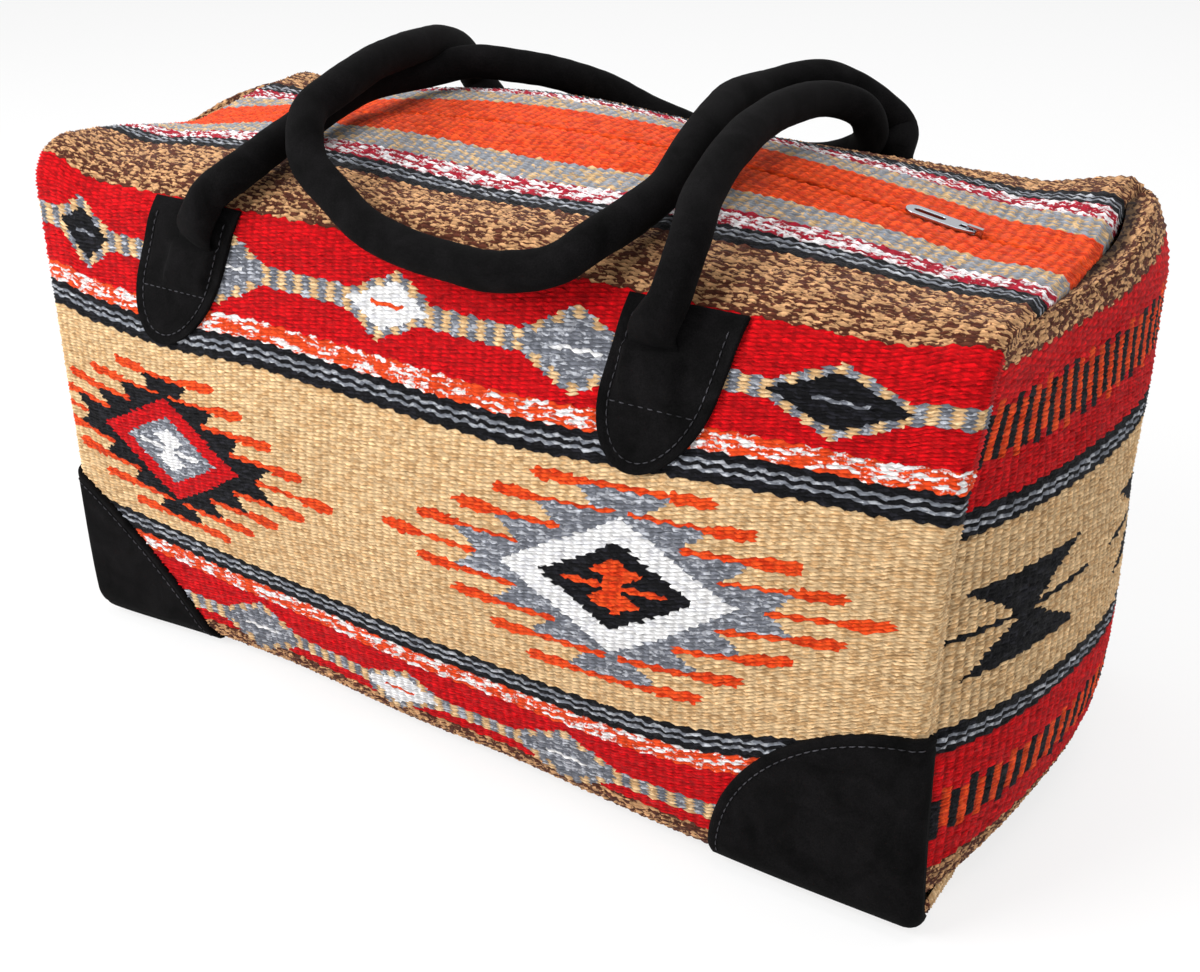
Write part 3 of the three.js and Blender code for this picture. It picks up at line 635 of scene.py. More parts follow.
@dataclass(frozen=True)
class DiamondChain:
    """Row of outlined diamonds on a cord of two colours."""

    links: tuple[Link, ...]
    cord: float = 0.0095
    rim: tuple[float, float] = (0.0085, 0.0050)
    dash: float = 0.0020

    def paint(self, wool: np.ndarray, u: np.ndarray, v: np.ndarray, check: np.ndarray) -> None:
        """Draws the cord, then each diamond's outline, fill and dash.

        Args:
            wool: weft numbers, changed in place.
            u: length along the cloth.
            v: distance from the chain's middle line.
            check: whether a rib of the cord is gray instead of tan.
        """
        cord = np.where(check, WOOL_ID[Wool.GRAY], WOOL_ID[Wool.TAN])
        line = np.abs(v) < self.cord / 2
        wool[line] = cord[line]
        for link in self.links:
            a = np.abs(u - link.middle + link.slant * v)
            b = np.abs(v)
            rim = a / (link.half_width + self.rim[0]) + b / (link.half_height + self.rim[1]) < 1
            wool[rim] = cord[rim]
            wool[a / link.half_width + b / link.half_height < 1] = WOOL_ID[link.fill]
            wool[(a < 0.4 * link.half_width) & (b < self.dash / 2)] = WOOL_ID[link.dash]


def banded(bands: tuple[tuple[float, Wool], ...], v: np.ndarray, pick: float = 0.0018) -> np.ndarray:
    """Fills an array with the wefts of stripes; a black and gray stripe has two gray picks near its middle.

    Args:
        bands: upper limit and weft of each stripe.
        v: distance across the stripes.
        pick: height of a pick.

    Returns:
        Weft numbers.
    """
    limits = np.array([0.0] + [limit for limit, _ in bands])
    number = np.clip(np.searchsorted(limits, v) - 1, 0, len(bands) - 1)
    wool = np.array([WOOL_ID[yarn] for _, yarn in bands])[number]
    pick_number = np.floor((v - limits[number]) / pick + 0.25)
    gray = np.where((pick_number == 2) | (pick_number == 4), WOOL_ID[Wool.STRIPE], WOOL_ID[Wool.BLACK])
    return np.where(wool == WOOL_ID[Wool.BLACK_GRAY], gray, wool)


@dataclass(frozen=True)
class WrapPattern:
    """Stripes, chains and medallions of the cloth round the bag, in metres from the zip."""

    bands: tuple[tuple[float, Wool], ...] = (
        (0.026, Wool.ORANGE),
        (0.044, Wool.GRAY_TAN),
        (0.057, Wool.CRIMSON_WHITE),
        (0.071, Wool.BLACK_GRAY),
        (0.111, Wool.BROWN),
        (0.1630, Wool.RED),
        (0.1735, Wool.ORANGE_WHITE),
        (0.1870, Wool.BLACK_GRAY),
        (0.3000, Wool.TAN),
        (0.3118, Wool.BLACK_GRAY),
        (0.3220, Wool.ORANGE_WHITE),
        (0.3560, Wool.RED),
        (0.3860, Wool.BROWN),
        (1.0, Wool.TAN),
    )
    upper_chain: float = 0.1402
    lower_chain: float = 0.3450
    tan_top: float = 0.1870
    tan_foot: float = 0.3000
    half_length: float = 0.260
    top_rise: float = 3.4
    top_fall: float = 8.5
    top_left: float = 7.0
    foot_rise: float = 6.0
    foot_fall: float = 9.0
    top_bow: float = 7.0
    chain: DiamondChain = DiamondChain(
        (
            Link(0.2015, 0.032, 0.0140, Wool.BLACK, Wool.GRAY),
            Link(0.0800, 0.031, 0.0140, Wool.GRAY, Wool.WHITE),
            Link(-0.0245, 0.025, 0.0118, Wool.WHITE, Wool.ORANGE, 0.42),
            Link(-0.1275, 0.029, 0.0140, Wool.GRAY, Wool.WHITE, 0.2),
            Link(-0.2240, 0.0165, 0.0135, Wool.BLACK, Wool.GRAY),
        )
    )
    medallions: tuple[Medallion, ...] = (
        Medallion(0.1104, 0.2402, 0.0625, 0.0318, 0.655, 0.0112, 0.132, 0.0213,
                  Wool.WHITE, Wool.BLACK, Wool.ORANGE, Wool.GRAY),
        Medallion(-0.1730, 0.2467, 0.053, 0.0310, 0.655, 0.0107, 0.118, 0.0200,
                  Wool.RED, Wool.GRAY, Wool.WHITE, Wool.BLACK),
    )

    def drape(self, u: np.ndarray, v: np.ndarray) -> np.ndarray:
        """Lays the cloth's straight picks on the bag.

        The tan field's edges follow shallow parabolas along it, which fall off further near the ends, and the
        top's stripes bow out in a bell curve. The rises and falls are in millimetres.

        Args:
            u: length along the cloth.
            v: distance across the cloth from the zip.

        Returns:
            Distances round the bag from the zip.
        """
        t = u / self.half_length
        top = self.top_rise - np.where(t < 0.2, 9, 1.5) * (t - 0.2) ** 2
        top = top - self.top_fall * smooth(0.15, 0.8, t) + self.top_left * smooth(0.38, 0.70, -t)
        foot = self.foot_rise - np.where(t < 0.13, 10, 25) * (t - 0.13) ** 2
        foot = foot - self.foot_fall * smooth(0.55, 0.95, t)
        share = np.clip((v - self.tan_top) / (self.tan_foot - self.tan_top), 0, 1)
        onset = smooth(0.118, 0.172, v) * (1 - smooth(0.320, 0.372, v))
        bow = self.top_bow * np.exp(-(((t - 0.1) / 0.4) ** 2))
        bow = bow * smooth(0.0, 0.026, v) * (1 - smooth(0.071, 0.111, v))
        return v + MM * (onset * (top + (foot - top) * share) + bow)

    def wefts(self, u: np.ndarray, v: np.ndarray, column: np.ndarray) -> np.ndarray:
        """Chooses the weft of each half bead.

        Args:
            u: length along the cloth.
            v: distance across the cloth from the zip.
            column: warp number.

        Returns:
            Weft numbers.
        """
        wool = banded(self.bands, v)
        for middle in (self.upper_chain, self.lower_chain):
            self.chain.paint(wool, u, v - middle, column % 2 == 0)
        for medallion in self.medallions:
            medallion.paint(wool, u, v)
        return wool


@dataclass(frozen=True)
class EndPattern:
    """Stripes, combs and two stepped hourglasses of an end panel, in metres over the floor."""

    bands: tuple[tuple[float, Wool], ...] = (
        (0.025, Wool.BROWN),
        (0.082, Wool.RED),
        (0.095, Wool.BLACK_GRAY),
        (0.182, Wool.TAN),
        (0.195, Wool.BLACK_GRAY),
        (0.247, Wool.RED),
        (1.0, Wool.BROWN),
    )
    combs: tuple[tuple[float, float], ...] = ((0.042, 0.062), (0.214, 0.236))
    waist: float = 0.1355
    triangle: float = 0.0205
    base: float = 0.034
    neck: float = 0.004
    centre: float = 0.061
    line_start: float = 0.012

    def wefts(self, y: np.ndarray, z: np.ndarray, column: np.ndarray) -> np.ndarray:
        """Chooses the weft of each half bead.

        An hourglass is where the distance from the waist is below the triangles' height and the distance
        along from its centre is below that share of the base. A one-bead line runs from near the panel's
        middle through the waist to the seam. Combs change weft from warp to warp.

        Args:
            y: length along the panel.
            z: height over the floor.
            column: warp number.

        Returns:
            Weft numbers.
        """
        wool = banded(self.bands, z)
        step = 0.0022 * np.sin(column * 2.4)
        tooth = np.where(column % 2 == 0, WOOL_ID[Wool.BLACK], WOOL_ID[Wool.ORANGE])
        for low, high in self.combs:
            inside = (z > low + step) & (z < high + step)
            wool[inside] = tooth[inside]
        off = np.abs(z - self.waist)
        along = np.abs(np.abs(y) - self.centre)
        glass = (off < self.triangle) & (along < self.base * off / self.triangle + self.neck)
        line = (off < 0.0012) & (np.abs(y) > self.line_start)
        wool[glass | line] = WOOL_ID[Wool.BLACK]
        return wool


@dataclass(frozen=True)
class Weave:
    """Weft-faced weave: ribs of the warp under close beads of weft, offset from rib to rib."""

    rib: float = 0.005
    pick: float = 0.0018
    relief: float = 0.0013
    low: float = 0.18
    sink: float = 0.70
    hook: float = 0.22
    loose: float = 0.16

    def crests(self, rows: int, columns: int, rng: np.random.Generator) -> np.ndarray:
        """Heights of a grid with two points to a bead each way, as shares of the relief.

        A point in the middle of a rib is a crest on every other row, and the crests of the next rib lie
        between those. Points between ribs and between beads of one rib lie low.

        Args:
            rows: number of point rows.
            columns: number of point columns.
            rng: source of the unevenness.

        Returns:
            Shares from 0 in the gaps to about 1 on the crests.
        """
        j = np.arange(rows)[:, None]
        i = np.arange(columns)[None, :]
        crest = (i % 2 == 1) & ((j + (i - 1) // 2) % 2 == 1)
        height = np.where(crest, 1.0, self.low)
        height = height * np.clip(rng.normal(1.0, 0.16, (rows, columns)), 0.6, 1.4)
        height[[0, -1]] = 0.3
        return height

    def lift(self, crests: np.ndarray) -> np.ndarray:
        """Turns crest shares into heights out of the mean face."""
        return self.relief * (crests - self.sink)

    def shifts(self, rows: int, columns: int, rng: np.random.Generator) -> tuple[np.ndarray, np.ndarray]:
        """Moves the grid's points in the cloth, so that beads hook into the next rib's and lie unevenly.

        Between two ribs a point goes towards the rib whose gap it faces, which gives every bead pointed ends.
        The outer rows and columns stay where they are.

        Args:
            rows: number of point rows.
            columns: number of point columns.
            rng: source of the unevenness.

        Returns:
            Shifts along the weft and along the warp.
        """
        j = np.arange(rows)[:, None]
        i = np.arange(columns)[None, :]
        hook = np.where((j + i // 2) % 2 == 0, 1.0, -1.0) * (i % 2 == 0) * self.hook * self.rib
        along = hook + rng.normal(0, self.loose * self.rib * 0.35, (rows, columns))
        across = np.clip(rng.normal(0, self.loose, (rows, columns)), -0.3, 0.3) * self.pick
        inner = np.zeros((rows, columns))
        inner[1:-1, 1:-1] = 1
        return along * inner, across * inner

    def bead_rows(self, rows: int, columns: int) -> np.ndarray:
        """Numbers the bead row of each face; in every other rib the beads start half a bead earlier."""
        j, i = np.meshgrid(np.arange(rows - 1), np.arange(columns - 1), indexing="ij")
        return (j + (i // 2) % 2) // 2

    def crest_rows(self, rows: int, columns: int) -> tuple[np.ndarray, np.ndarray]:
        """Point row of the crest of each bead, for each column of faces, and the number of that column."""
        count = (rows - 1) // 2 + 1
        row, i = np.meshgrid(np.arange(count), np.arange(columns - 1), indexing="ij")
        return np.clip(2 * row + 1 - (i // 2) % 2, 0, rows - 1), i

    def colours(self, wool: np.ndarray, rng: np.random.Generator) -> tuple[np.ndarray, np.ndarray]:
        """Main and second colours of the half beads, a little uneven from bead to bead and from row to row.

        Args:
            wool: weft number of each half bead.
            rng: source of the unevenness.

        Returns:
            Linear colours with four channels on the last axis; the second colours' fourth is their share.
        """
        rows, halves = wool.shape
        ribs = (halves + 1) // 2
        main = np.array([linear(kind.value.main) for kind in WOOLS])[wool]
        fleck = np.array([linear(kind.value.fleck) for kind in WOOLS])[wool]
        share = np.array([kind.value.share for kind in WOOLS])[wool]
        spread = np.array([kind.value.spread for kind in WOOLS])[wool]
        uneven = np.repeat(rng.normal(0, 1, (rows, ribs)), 2, axis=1)[:, :halves] * spread
        uneven = np.clip(1 + uneven + rng.normal(0, 0.03, (rows, 1)), 0.5, 1.5)[..., None]
        solid = np.ones((rows, halves, 1))
        return (np.concatenate([main * uneven, solid], axis=-1),
                np.concatenate([fleck * uneven, share[..., None]], axis=-1))


def weave_piece(name: str, points: np.ndarray, crests: np.ndarray, wool: np.ndarray, weave: Weave,
                rng: np.random.Generator, material: bpy.types.Material, turned: bool) -> bpy.types.Object:
    """Makes a woven piece from its grid, with the beads' colours on its faces and their crests on its points,
    which paint shade into the colour.

    Args:
        name: piece name.
        points: grid of places, two to a bead each way.
        crests: height of each point as a share of the relief, which also paints shade into the colour between
            the beads.
        wool: weft number of each half bead.
        weave: the weave that numbers and colours the beads.
        rng: source of the unevenness.
        material: wool finish.
        turned: whether the faces' order is turned so that they look outwards.

    Returns:
        The object.
    """
    rows, columns = points.shape[:2]
    faces = grid_faces(rows, columns)
    piece = make_piece(name, points.reshape(-1, 3), faces[:, ::-1] if turned else faces, material)
    row = weave.bead_rows(rows, columns)
    half = np.broadcast_to(np.arange(columns - 1)[None, :], row.shape)
    for label, colour in zip(("yarn", "fleck"), weave.colours(wool, rng)):
        layer = piece.data.attributes.new(label, "FLOAT_COLOR", "FACE")
        layer.data.foreach_set("color", colour[row, half].astype(np.float32).ravel())
    dashes = np.array([kind.value.long for kind in WOOLS])[wool]
    for label, values in (("row", row), ("long", dashes[row, half])):
        layer = piece.data.attributes.new(label, "FLOAT", "FACE")
        layer.data.foreach_set("value", values.astype(np.float32).ravel())
    # Painted shade: the crest values darken the wool's colour in the gaps between beads and in the end seams
    height = piece.data.attributes.new("crest", "FLOAT", "POINT")
    height.data.foreach_set("value", crests.astype(np.float32).ravel())
    return piece


@dataclass
class ClothWrap:
    """The long cloth of the bag, from the zip round front and back to the underside."""

    form: BagForm
    weave: Weave = field(default_factory=Weave)
    pattern: WrapPattern = field(default_factory=WrapPattern)
    roll_turn: float = 2.2
    lip_radius: float = 0.0014
    lip_turn: float = 2.0
    slit: float = 0.0019
    slit_shut: float = 0.0002
    slit_end: float = 0.229
    slit_taper: float = 0.014
    valley: float = 0.0008
    valley_width: float = 0.009

    def lengths(self) -> np.ndarray:
        """Point columns along the cloth, two to a rib, from one turned-in end to the other."""
        half = self.form.turned_in(self.roll_turn)
        ribs = round(2 * half / self.weave.rib)
        return np.linspace(-half, half, 2 * ribs + 1)

    def lip(self, u: np.ndarray, d: np.ndarray) -> tuple[np.ndarray, np.ndarray]:
        """Turned-in edge at the zip: the cloth's first millimetres run round a small circle.

        Args:
            u: length along the cloth.
            d: distance along the cloth from its cut edge.

        Returns:
            Distance round the bag from the zip, and how far the face drops there.
        """
        close = smooth(self.slit_end, self.slit_end + self.slit_taper, np.abs(u))
        edge = self.slit + (self.slit_shut - self.slit) * close
        turn = np.maximum(0, self.lip_turn - d / self.lip_radius)
        run = np.maximum(0, d - self.lip_turn * self.lip_radius)
        s = edge + self.lip_radius * (1 - np.sin(turn)) + run
        drop = self.lip_radius * (1 - np.cos(turn)) + self.valley * np.exp(-((s / self.valley_width) ** 2))
        return s, drop

    def build(self, material: bpy.types.Material) -> list[bpy.types.Object]:
        """Makes the front, back and underside, which meet on the flat of the underside.

        Args:
            material: wool finish.

        Returns:
            The three pieces.
        """
        rng = np.random.default_rng(SEED)
        u = self.lengths()
        half = 2 * round(self.form.floor_start / self.weave.pick)
        d = np.arange(half + 1) * self.weave.pick / 2
        pieces = [self.side_piece(side, u, d, rng, material) for side in Side]
        pieces.append(self.underside(u, d[-1], rng, material))
        return pieces

    def flat_sizes(self) -> list[tuple[float, float]]:
        """Width and length of the cuts of the front, back and underside."""
        width = float(np.ptp(self.lengths()))
        side = self.weave.pick * round(self.form.floor_start / self.weave.pick)
        return [(width, side), (width, side), (width, 2 * (self.form.half_wrap - side))]

    def side_piece(self, side: Side, u: np.ndarray, d: np.ndarray, rng: np.random.Generator,
                   material: bpy.types.Material) -> bpy.types.Object:
        """Makes the cloth of one long side, from the zip down to the underside.

        Args:
            side: front or rear.
            u: point columns along the cloth.
            d: point rows from the zip.
            rng: source of the unevenness.
            material: wool finish.

        Returns:
            The piece.
        """
        along, across = self.weave.shifts(len(d), len(u), rng)
        crests = self.weave.crests(len(d), len(u), rng)
        s, drop = self.lip(u[None, :], d[:, None] + across)
        s = self.pattern.drape(u[None, :], s)
        points = self.form.point(u[None, :] + along, side.value * s, self.weave.lift(crests) - drop)
        crest_rows, column = self.weave.crest_rows(len(d), len(u))
        wool = self.pattern.wefts((u[column] + u[column + 1]) / 2, d[crest_rows], column // 2)
        name = f"woven_{side.name.lower()}"
        return weave_piece(name, points, crests, wool, self.weave, rng, material, side is Side.FRONT)

    def underside(self, u: np.ndarray, start: float, rng: np.random.Generator,
                  material: bpy.types.Material) -> bpy.types.Object:
        """Makes the flat underside between the two long sides.

        Args:
            u: point columns along the cloth.
            start: distance from the zip where the sides end.
            rng: source of the unevenness.
            material: wool finish.

        Returns:
            The piece.
        """
        edge, _ = self.lip(u[None, :], np.array([[start]]))
        middle = self.form.half_wrap
        rows = 2 * round(2 * (middle - start) / self.weave.pick) + 1
        share = np.linspace(-1, 1, rows)[:, None]
        run = middle - np.abs(share) * (middle - edge)
        s = np.where(share < 0, -run, run)
        crests = self.weave.crests(rows, len(u), rng)
        points = self.form.point(u[None, :], s, self.weave.lift(crests))
        crest_rows, column = self.weave.crest_rows(rows, len(u))
        wool = self.pattern.wefts((u[column] + u[column + 1]) / 2, np.abs(s[crest_rows, column]), column // 2)
        return weave_piece("woven_underside", points, crests, wool, self.weave, rng, material, False)


@dataclass
class EndPanel:
    """Domed end of the bag, whose rim is tucked into the turned-in ends of the wrap."""

    form: BagForm
    end: End
    weave: Weave = field(default_factory=Weave)
    pattern: EndPattern = field(default_factory=EndPattern)
    tuck: float = 0.0055
    recess: float = 0.0095
    puff: float = 0.0035
    top_puff: float = 0.005
    puff_width: float = 0.004
    bulge: float = 0.0385
    # Depth below zero of the crest values along the rim, which paints the seam's shadow
    seam_shade: float = 0.4
    peak: float = 0.15
    ripple: float = 0.0012
    roll: float = 0.0075
    roll_width: float = 0.009

    @property
    def top(self) -> float:
        """Height of the rim's top."""
        return self.form.height - self.tuck

    @property
    def folds(self) -> tuple[float, float]:
        """Radii of the rim's upper and lower folds."""
        return self.form.top_fold - self.tuck, self.form.bottom_fold - self.tuck

    def half_width(self, z: np.ndarray) -> np.ndarray:
        """Half width of the panel at a height: flat sides with a round fold above and below."""
        form = self.form
        upper, lower = self.folds
        below = np.clip(self.top - z, 0, upper)
        above = np.clip(z - self.tuck, 0, lower)
        fold = form.top_flat + np.sqrt(upper**2 - (upper - below) ** 2)
        foot = form.half_depth - form.bottom_fold + np.sqrt(lower**2 - (lower - above) ** 2)
        return np.minimum(fold, foot)

    def inside(self, y: np.ndarray, z: np.ndarray) -> np.ndarray:
        """Distance from the rim: the least one to a flat side, or to the round fold in a corner.

        Args:
            y: distance from the middle, without the spread.
            z: height over the floor.

        Returns:
            Distances, 0 on the rim.
        """
        form = self.form
        upper, lower = self.folds
        out = np.abs(y)
        flat = np.minimum(form.half_depth - self.tuck - out, np.minimum(self.top - z, z - self.tuck))
        high_y, high_z = out - form.top_flat, z - self.top + upper
        low_y, low_z = out - form.half_depth + form.bottom_fold, self.tuck + lower - z
        flat = np.where((high_y > 0) & (high_z > 0), upper - np.hypot(high_y, high_z), flat)
        flat = np.where((low_y > 0) & (low_z > 0), lower - np.hypot(low_y, low_z), flat)
        return np.maximum(0, flat)

    def build(self, material: bpy.types.Material) -> bpy.types.Object:
        """Makes the panel.

        The rows are level and as wide as the outline at their height. From the rim inwards the panel puffs
        up as one minus a falling exponential, more along the top, where a bell-shaped rise rolls it up beside
        the seam. The stuffed bulge adds, along each row, a half parabola from the front and one from the
        rear, up to a fourth power near the top, which meet behind the middle. It is scaled by a power of a
        sine over the height that rises fast from the floor and falls slowly to the top, slowest at the rear.
        The crest values, which paint shade into the weave's colour, drop below zero along the rim to paint
        the seam's shadow.

        Args:
            material: wool finish.

        Returns:
            The piece.
        """
        form = self.form
        rng = np.random.default_rng(SEED + self.end.value)
        rows = 2 * round((self.top - self.tuck) / self.weave.pick) + 1
        columns = 2 * round(form.depth / self.weave.rib) + 1
        q = np.linspace(-1, 1, columns)[None, :]
        v = np.linspace(0, 1, rows)[:, None]
        level = self.tuck + v * (self.top - self.tuck)
        narrow = q * self.half_width(level)
        y = narrow * form.spread(level)
        dip = form.ridge(np.array(form.half_length - form.seam_recess))
        inside = self.inside(narrow, level)
        roll = self.roll * np.exp(-(((self.top - level) / self.roll_width - 1.1) ** 2))
        roll = roll * smooth(0.0, 0.006, inside)
        z = level + dip * (1 - (y / form.half_depth) ** 2) * smooth(0.6, 1.0, v) + roll
        share = np.clip(1 - inside / (form.half_depth - self.tuck), 0, 1)
        puff = self.puff + self.top_puff * smooth(0.8, 1.0, v)
        off = (q - self.peak) / np.where(q < self.peak, 1 + self.peak, 1 - self.peak)
        arch = np.sin(math.pi * (level / form.height) ** 0.75)
        power = np.where(v < 0.39, 0.5, 0.75 - 0.40 * smooth(-0.5, 0.5, q))
        round_off = np.where(q < self.peak, 2, 2 + 2 * smooth(0.55, 0.85, v))
        bulge = self.bulge * (1 - np.abs(off) ** round_off) * arch**power
        rise = bulge + puff * (1 - np.exp(-inside / self.puff_width))
        wave = 0.6 * np.sin(z * 37 + y * 11 + 0.7) + 0.4 * np.sin(z * 19 - y * 43 + 2.0)
        crests = self.weave.crests(rows, columns, rng)
        lift = self.weave.lift(crests) + self.ripple * wave * (1 - share**4)
        x = self.end.value * (form.half_length - self.recess + rise + lift)
        along, across = self.weave.shifts(rows, columns, rng)
        points = form.slumped(np.stack(np.broadcast_arrays(x, y + along, z + across), axis=-1))
        crest_rows, column = self.weave.crest_rows(rows, columns)
        along_y = (y[crest_rows, column] + y[crest_rows, column + 1]) / 2
        wool = self.pattern.wefts(along_y, level[crest_rows, 0], column // 2)
        name = f"woven_end_{self.end.name.lower()}"
        # Painted shadow of the seam: within a few millimetres of the rim the crest values fall below zero and
        # darken the colour
        clear_of_seam_shadow = smooth(0.0005, 0.0065 - 0.003 * smooth(0.9, 0.97, v), inside)
        shading = crests * clear_of_seam_shadow - self.seam_shade * (1 - clear_of_seam_shadow)
        return weave_piece(name, points, shading, wool, self.weave, rng, material, self.end is End.LEFT)


@dataclass(frozen=True)
class Stitching:
    """Row of sewn stitches: short bowed threads, one after another."""

    pitch: float = 0.0042
    length: float = 0.0031
    radius: float = 0.00034
    rise: float = 0.00025
    rings: int = 5
    sides: int = 6

    def along(self, path: np.ndarray, out: np.ndarray) -> tuple[np.ndarray, np.ndarray]:
        """Places stitches along a line on a surface.

        Each stitch is a thin tube whose radius and height follow half a sine over its length, so its two ends
        sink into the surface.

        Args:
            path: close places along the line.
            out: outward directions there.

        Returns:
            Points and faces of all the stitches.
        """
        run = run_along(path)
        count = max(1, int(run[-1] / self.pitch))
        start = (np.arange(count) + 0.5) * run[-1] / count - self.length / 2
        t = np.linspace(0, 1, self.rings)
        at = start[:, None] + t[None, :] * self.length
        centre = np.stack([np.interp(at, run, path[:, k]) for k in range(3)], axis=-1)
        up = np.stack([np.interp(at, run, out[:, k]) for k in range(3)], axis=-1)
        up /= np.linalg.norm(up, axis=-1, keepdims=True)
        ahead = centre[:, -1:] - centre[:, :1]
        ahead = ahead / np.linalg.norm(ahead, axis=-1, keepdims=True)
        side = np.cross(up, ahead)
        bow = np.sin(math.pi * t)[None, :, None]
        centre = centre + up * (self.rise * bow - 0.5 * self.radius)
        angle = np.linspace(0, 2 * math.pi, self.sides, endpoint=False)
        radius = self.radius * (0.35 + 0.65 * bow)
        ring = (side[:, :, None] * np.cos(angle)[None, None, :, None]
                + up[:, :, None] * np.sin(angle)[None, None, :, None])
        points = centre[:, :, None] + ring * radius[..., None]
        tube = grid_faces(self.rings, self.sides, around=True)
        faces = tube[None] + (np.arange(count) * self.rings * self.sides)[:, None, None]
        return points.reshape(-1, 3), faces.reshape(-1, 4)


def stitched_piece(name: str, lines: list[tuple[np.ndarray, np.ndarray]], stitching: Stitching,
                   material: bpy.types.Material) -> bpy.types.Object:
    """Joins several rows of stitches into one piece.

    Args:
        name: piece name.
        lines: places and outward directions of each row.
        stitching: size of the stitches.
        material: thread finish.

    Returns:
        The object.
    """
    sets = [stitching.along(path, out) for path, out in lines]
    starts = np.cumsum([0] + [len(points) for points, _ in sets[:-1]])
    points = np.concatenate([points for points, _ in sets])
    faces = np.concatenate([faces + start for (_, faces), start in zip(sets, starts)])
    return make_piece(name, points, faces, material)


@dataclass
class HandleTab:
    """Suede shield that holds one end of a handle: flat at its shoulder, raised over the sewn-in tongue."""

    form: BagForm
    side: Side
    end: End
    spacing: float = 0.273
    shift: float = -0.0185
    width: float = 0.055
    length: float = 0.074
    round: float = 0.040
    top_shift: float = 0.012
    foot_shift: float = -0.010
    foot_lean: float = 0.006
    thickness: float = 0.002
    drop: float = 0.002
    slot: float = 0.018
    tongue: float = 0.020
    tongue_half: float = 0.012
    pocket_rise: float = 0.0042
    pocket_out: float = 0.0125
    pocket_lean: float = 0.42
    seam_in: float = 0.0055
    bevel: float = 0.0009
    groove: float = 0.0005
    groove_width: float = 0.0011
    rows: int = 72
    columns: int = 44

    @property
    def name(self) -> str:
        """Name of the frame node."""
        return f"handle_tab_{self.side.name.lower()}_{self.end.name.lower()}"

    @property
    def x(self) -> float:
        """Place of the pocket along the bag."""
        return self.shift + self.end.value * self.spacing / 2

    @property
    def top(self) -> float:
        """Height of the top edge."""
        fold = self.form.top_flat + self.form.top_fold * math.pi / 4 + self.drop
        return float(self.form.section(np.array(fold))[1])

    def outline(self, t: np.ndarray, inset: float = 0.0) -> tuple[np.ndarray, np.ndarray, np.ndarray]:
        """Depth, middle and half width of the shield, from its top edge at 0 to its round foot at 1.

        It leans evenly from the top shift to the foot shift. Below the straight part the half width follows
        an ellipse.

        Args:
            t: share of the way down.
            inset: distance kept inside the edge.

        Returns:
            Depth below the top edge, middle and half width at each share.
        """
        straight = self.length - self.round
        arc = np.clip((t - 0.45) / 0.55, 0, 1) * math.pi / 2
        depth = inset + np.clip(t / 0.45, 0, 1) * (straight - inset) + (self.round - inset) * np.sin(arc)
        lean = depth / self.length
        foot = self.foot_shift + self.foot_lean * self.end.value
        middle = self.top_shift + (foot - self.top_shift) * lean
        return depth, middle, (self.width / 2 - inset) * np.cos(arc)

    def pocket(self, end: End, depth: np.ndarray) -> np.ndarray:
        """Sideways place of the tongue at a depth: straight at the right end, leaning at the left."""
        return (self.pocket_out - self.pocket_lean * (depth - self.slot)) * (end is End.LEFT)

    def lift(self, x: np.ndarray, depth: np.ndarray) -> np.ndarray:
        """How far the leather is raised over the tongue in its pocket, with soft shoulders around it."""
        off = np.abs(x - self.pocket(self.end, depth))
        across = 1 - smooth(self.tongue_half - 0.001, self.tongue_half + 0.005, off)
        down = smooth(self.slot - 0.0006, self.slot + 0.0006, depth)
        foot = 1 - smooth(self.slot + self.tongue - 0.004, self.slot + self.tongue + 0.007, depth)
        return self.pocket_rise * across * down * foot

    def place(self, x: np.ndarray, depth: np.ndarray, lift: np.ndarray) -> np.ndarray:
        """Puts the tab's own coordinates on the bag."""
        s = self.form.distance(self.top - depth)
        return self.form.point(self.x + x, self.side.value * s, lift)

    def build(self, suede: bpy.types.Material, thread: bpy.types.Material) -> list[bpy.types.Object]:
        """Makes the shield and its stitches.

        Args:
            suede: leather finish.
            thread: finish of the stitches.

        Returns:
            The two pieces.
        """
        t = np.linspace(0, 1, self.rows)[:, None]
        depth, middle, half = self.outline(t)
        q = np.sin(np.linspace(-1, 1, self.columns) * math.pi / 2)[None, :]
        x = middle + q * half
        depth = np.broadcast_to(depth, x.shape)
        rim = np.minimum(half * (1 - np.abs(q)), np.minimum(depth, self.length - depth) + RIM_START)
        raised = self.lift(x, depth)
        drop = edge_drop(rim, self.seam_in, self.bevel, self.groove, self.groove_width)
        outer = self.place(x, depth, LEATHER_SEAT + self.thickness + raised - drop)
        inner = self.place(x, depth, 0.9 * raised)
        tab = leather_piece(self.name.replace("handle_", "suede_"), outer, inner, suede)
        return [tab, self.stitches(thread)]

    def stitches(self, thread: bpy.types.Material) -> bpy.types.Object:
        """Makes the edge seam and the seam across the foot of the tongue."""
        t = np.linspace(0, 1, 160)
        depth, middle, half = self.outline(t, self.seam_in)
        x = np.concatenate([middle - half, (middle + half)[::-1]])
        down = np.concatenate([depth, depth[::-1]])
        low = self.slot + self.tongue + 0.006
        ends = np.interp(low, depth, middle - half), np.interp(low, depth, middle + half)
        lines = [self.seam(x, down), self.seam(np.linspace(*ends, 80), np.full(80, low))]
        return stitched_piece(f"stitches_{self.name}", lines, Stitching(), thread)

    def seam(self, x: np.ndarray, depth: np.ndarray) -> tuple[np.ndarray, np.ndarray]:
        """Places and outward directions of a seam on the leather's face."""
        lift = LEATHER_SEAT + self.thickness + self.lift(x, depth)
        path = self.place(x, depth, lift)
        return path, self.place(x, depth, lift + MM) - path


# Width, height and straightness of the corner patches as each end shows them
PATCH_CUTS = {End.LEFT: (0.089, 0.088, 1.5), End.RIGHT: (0.101, 0.0955, 1.0)}


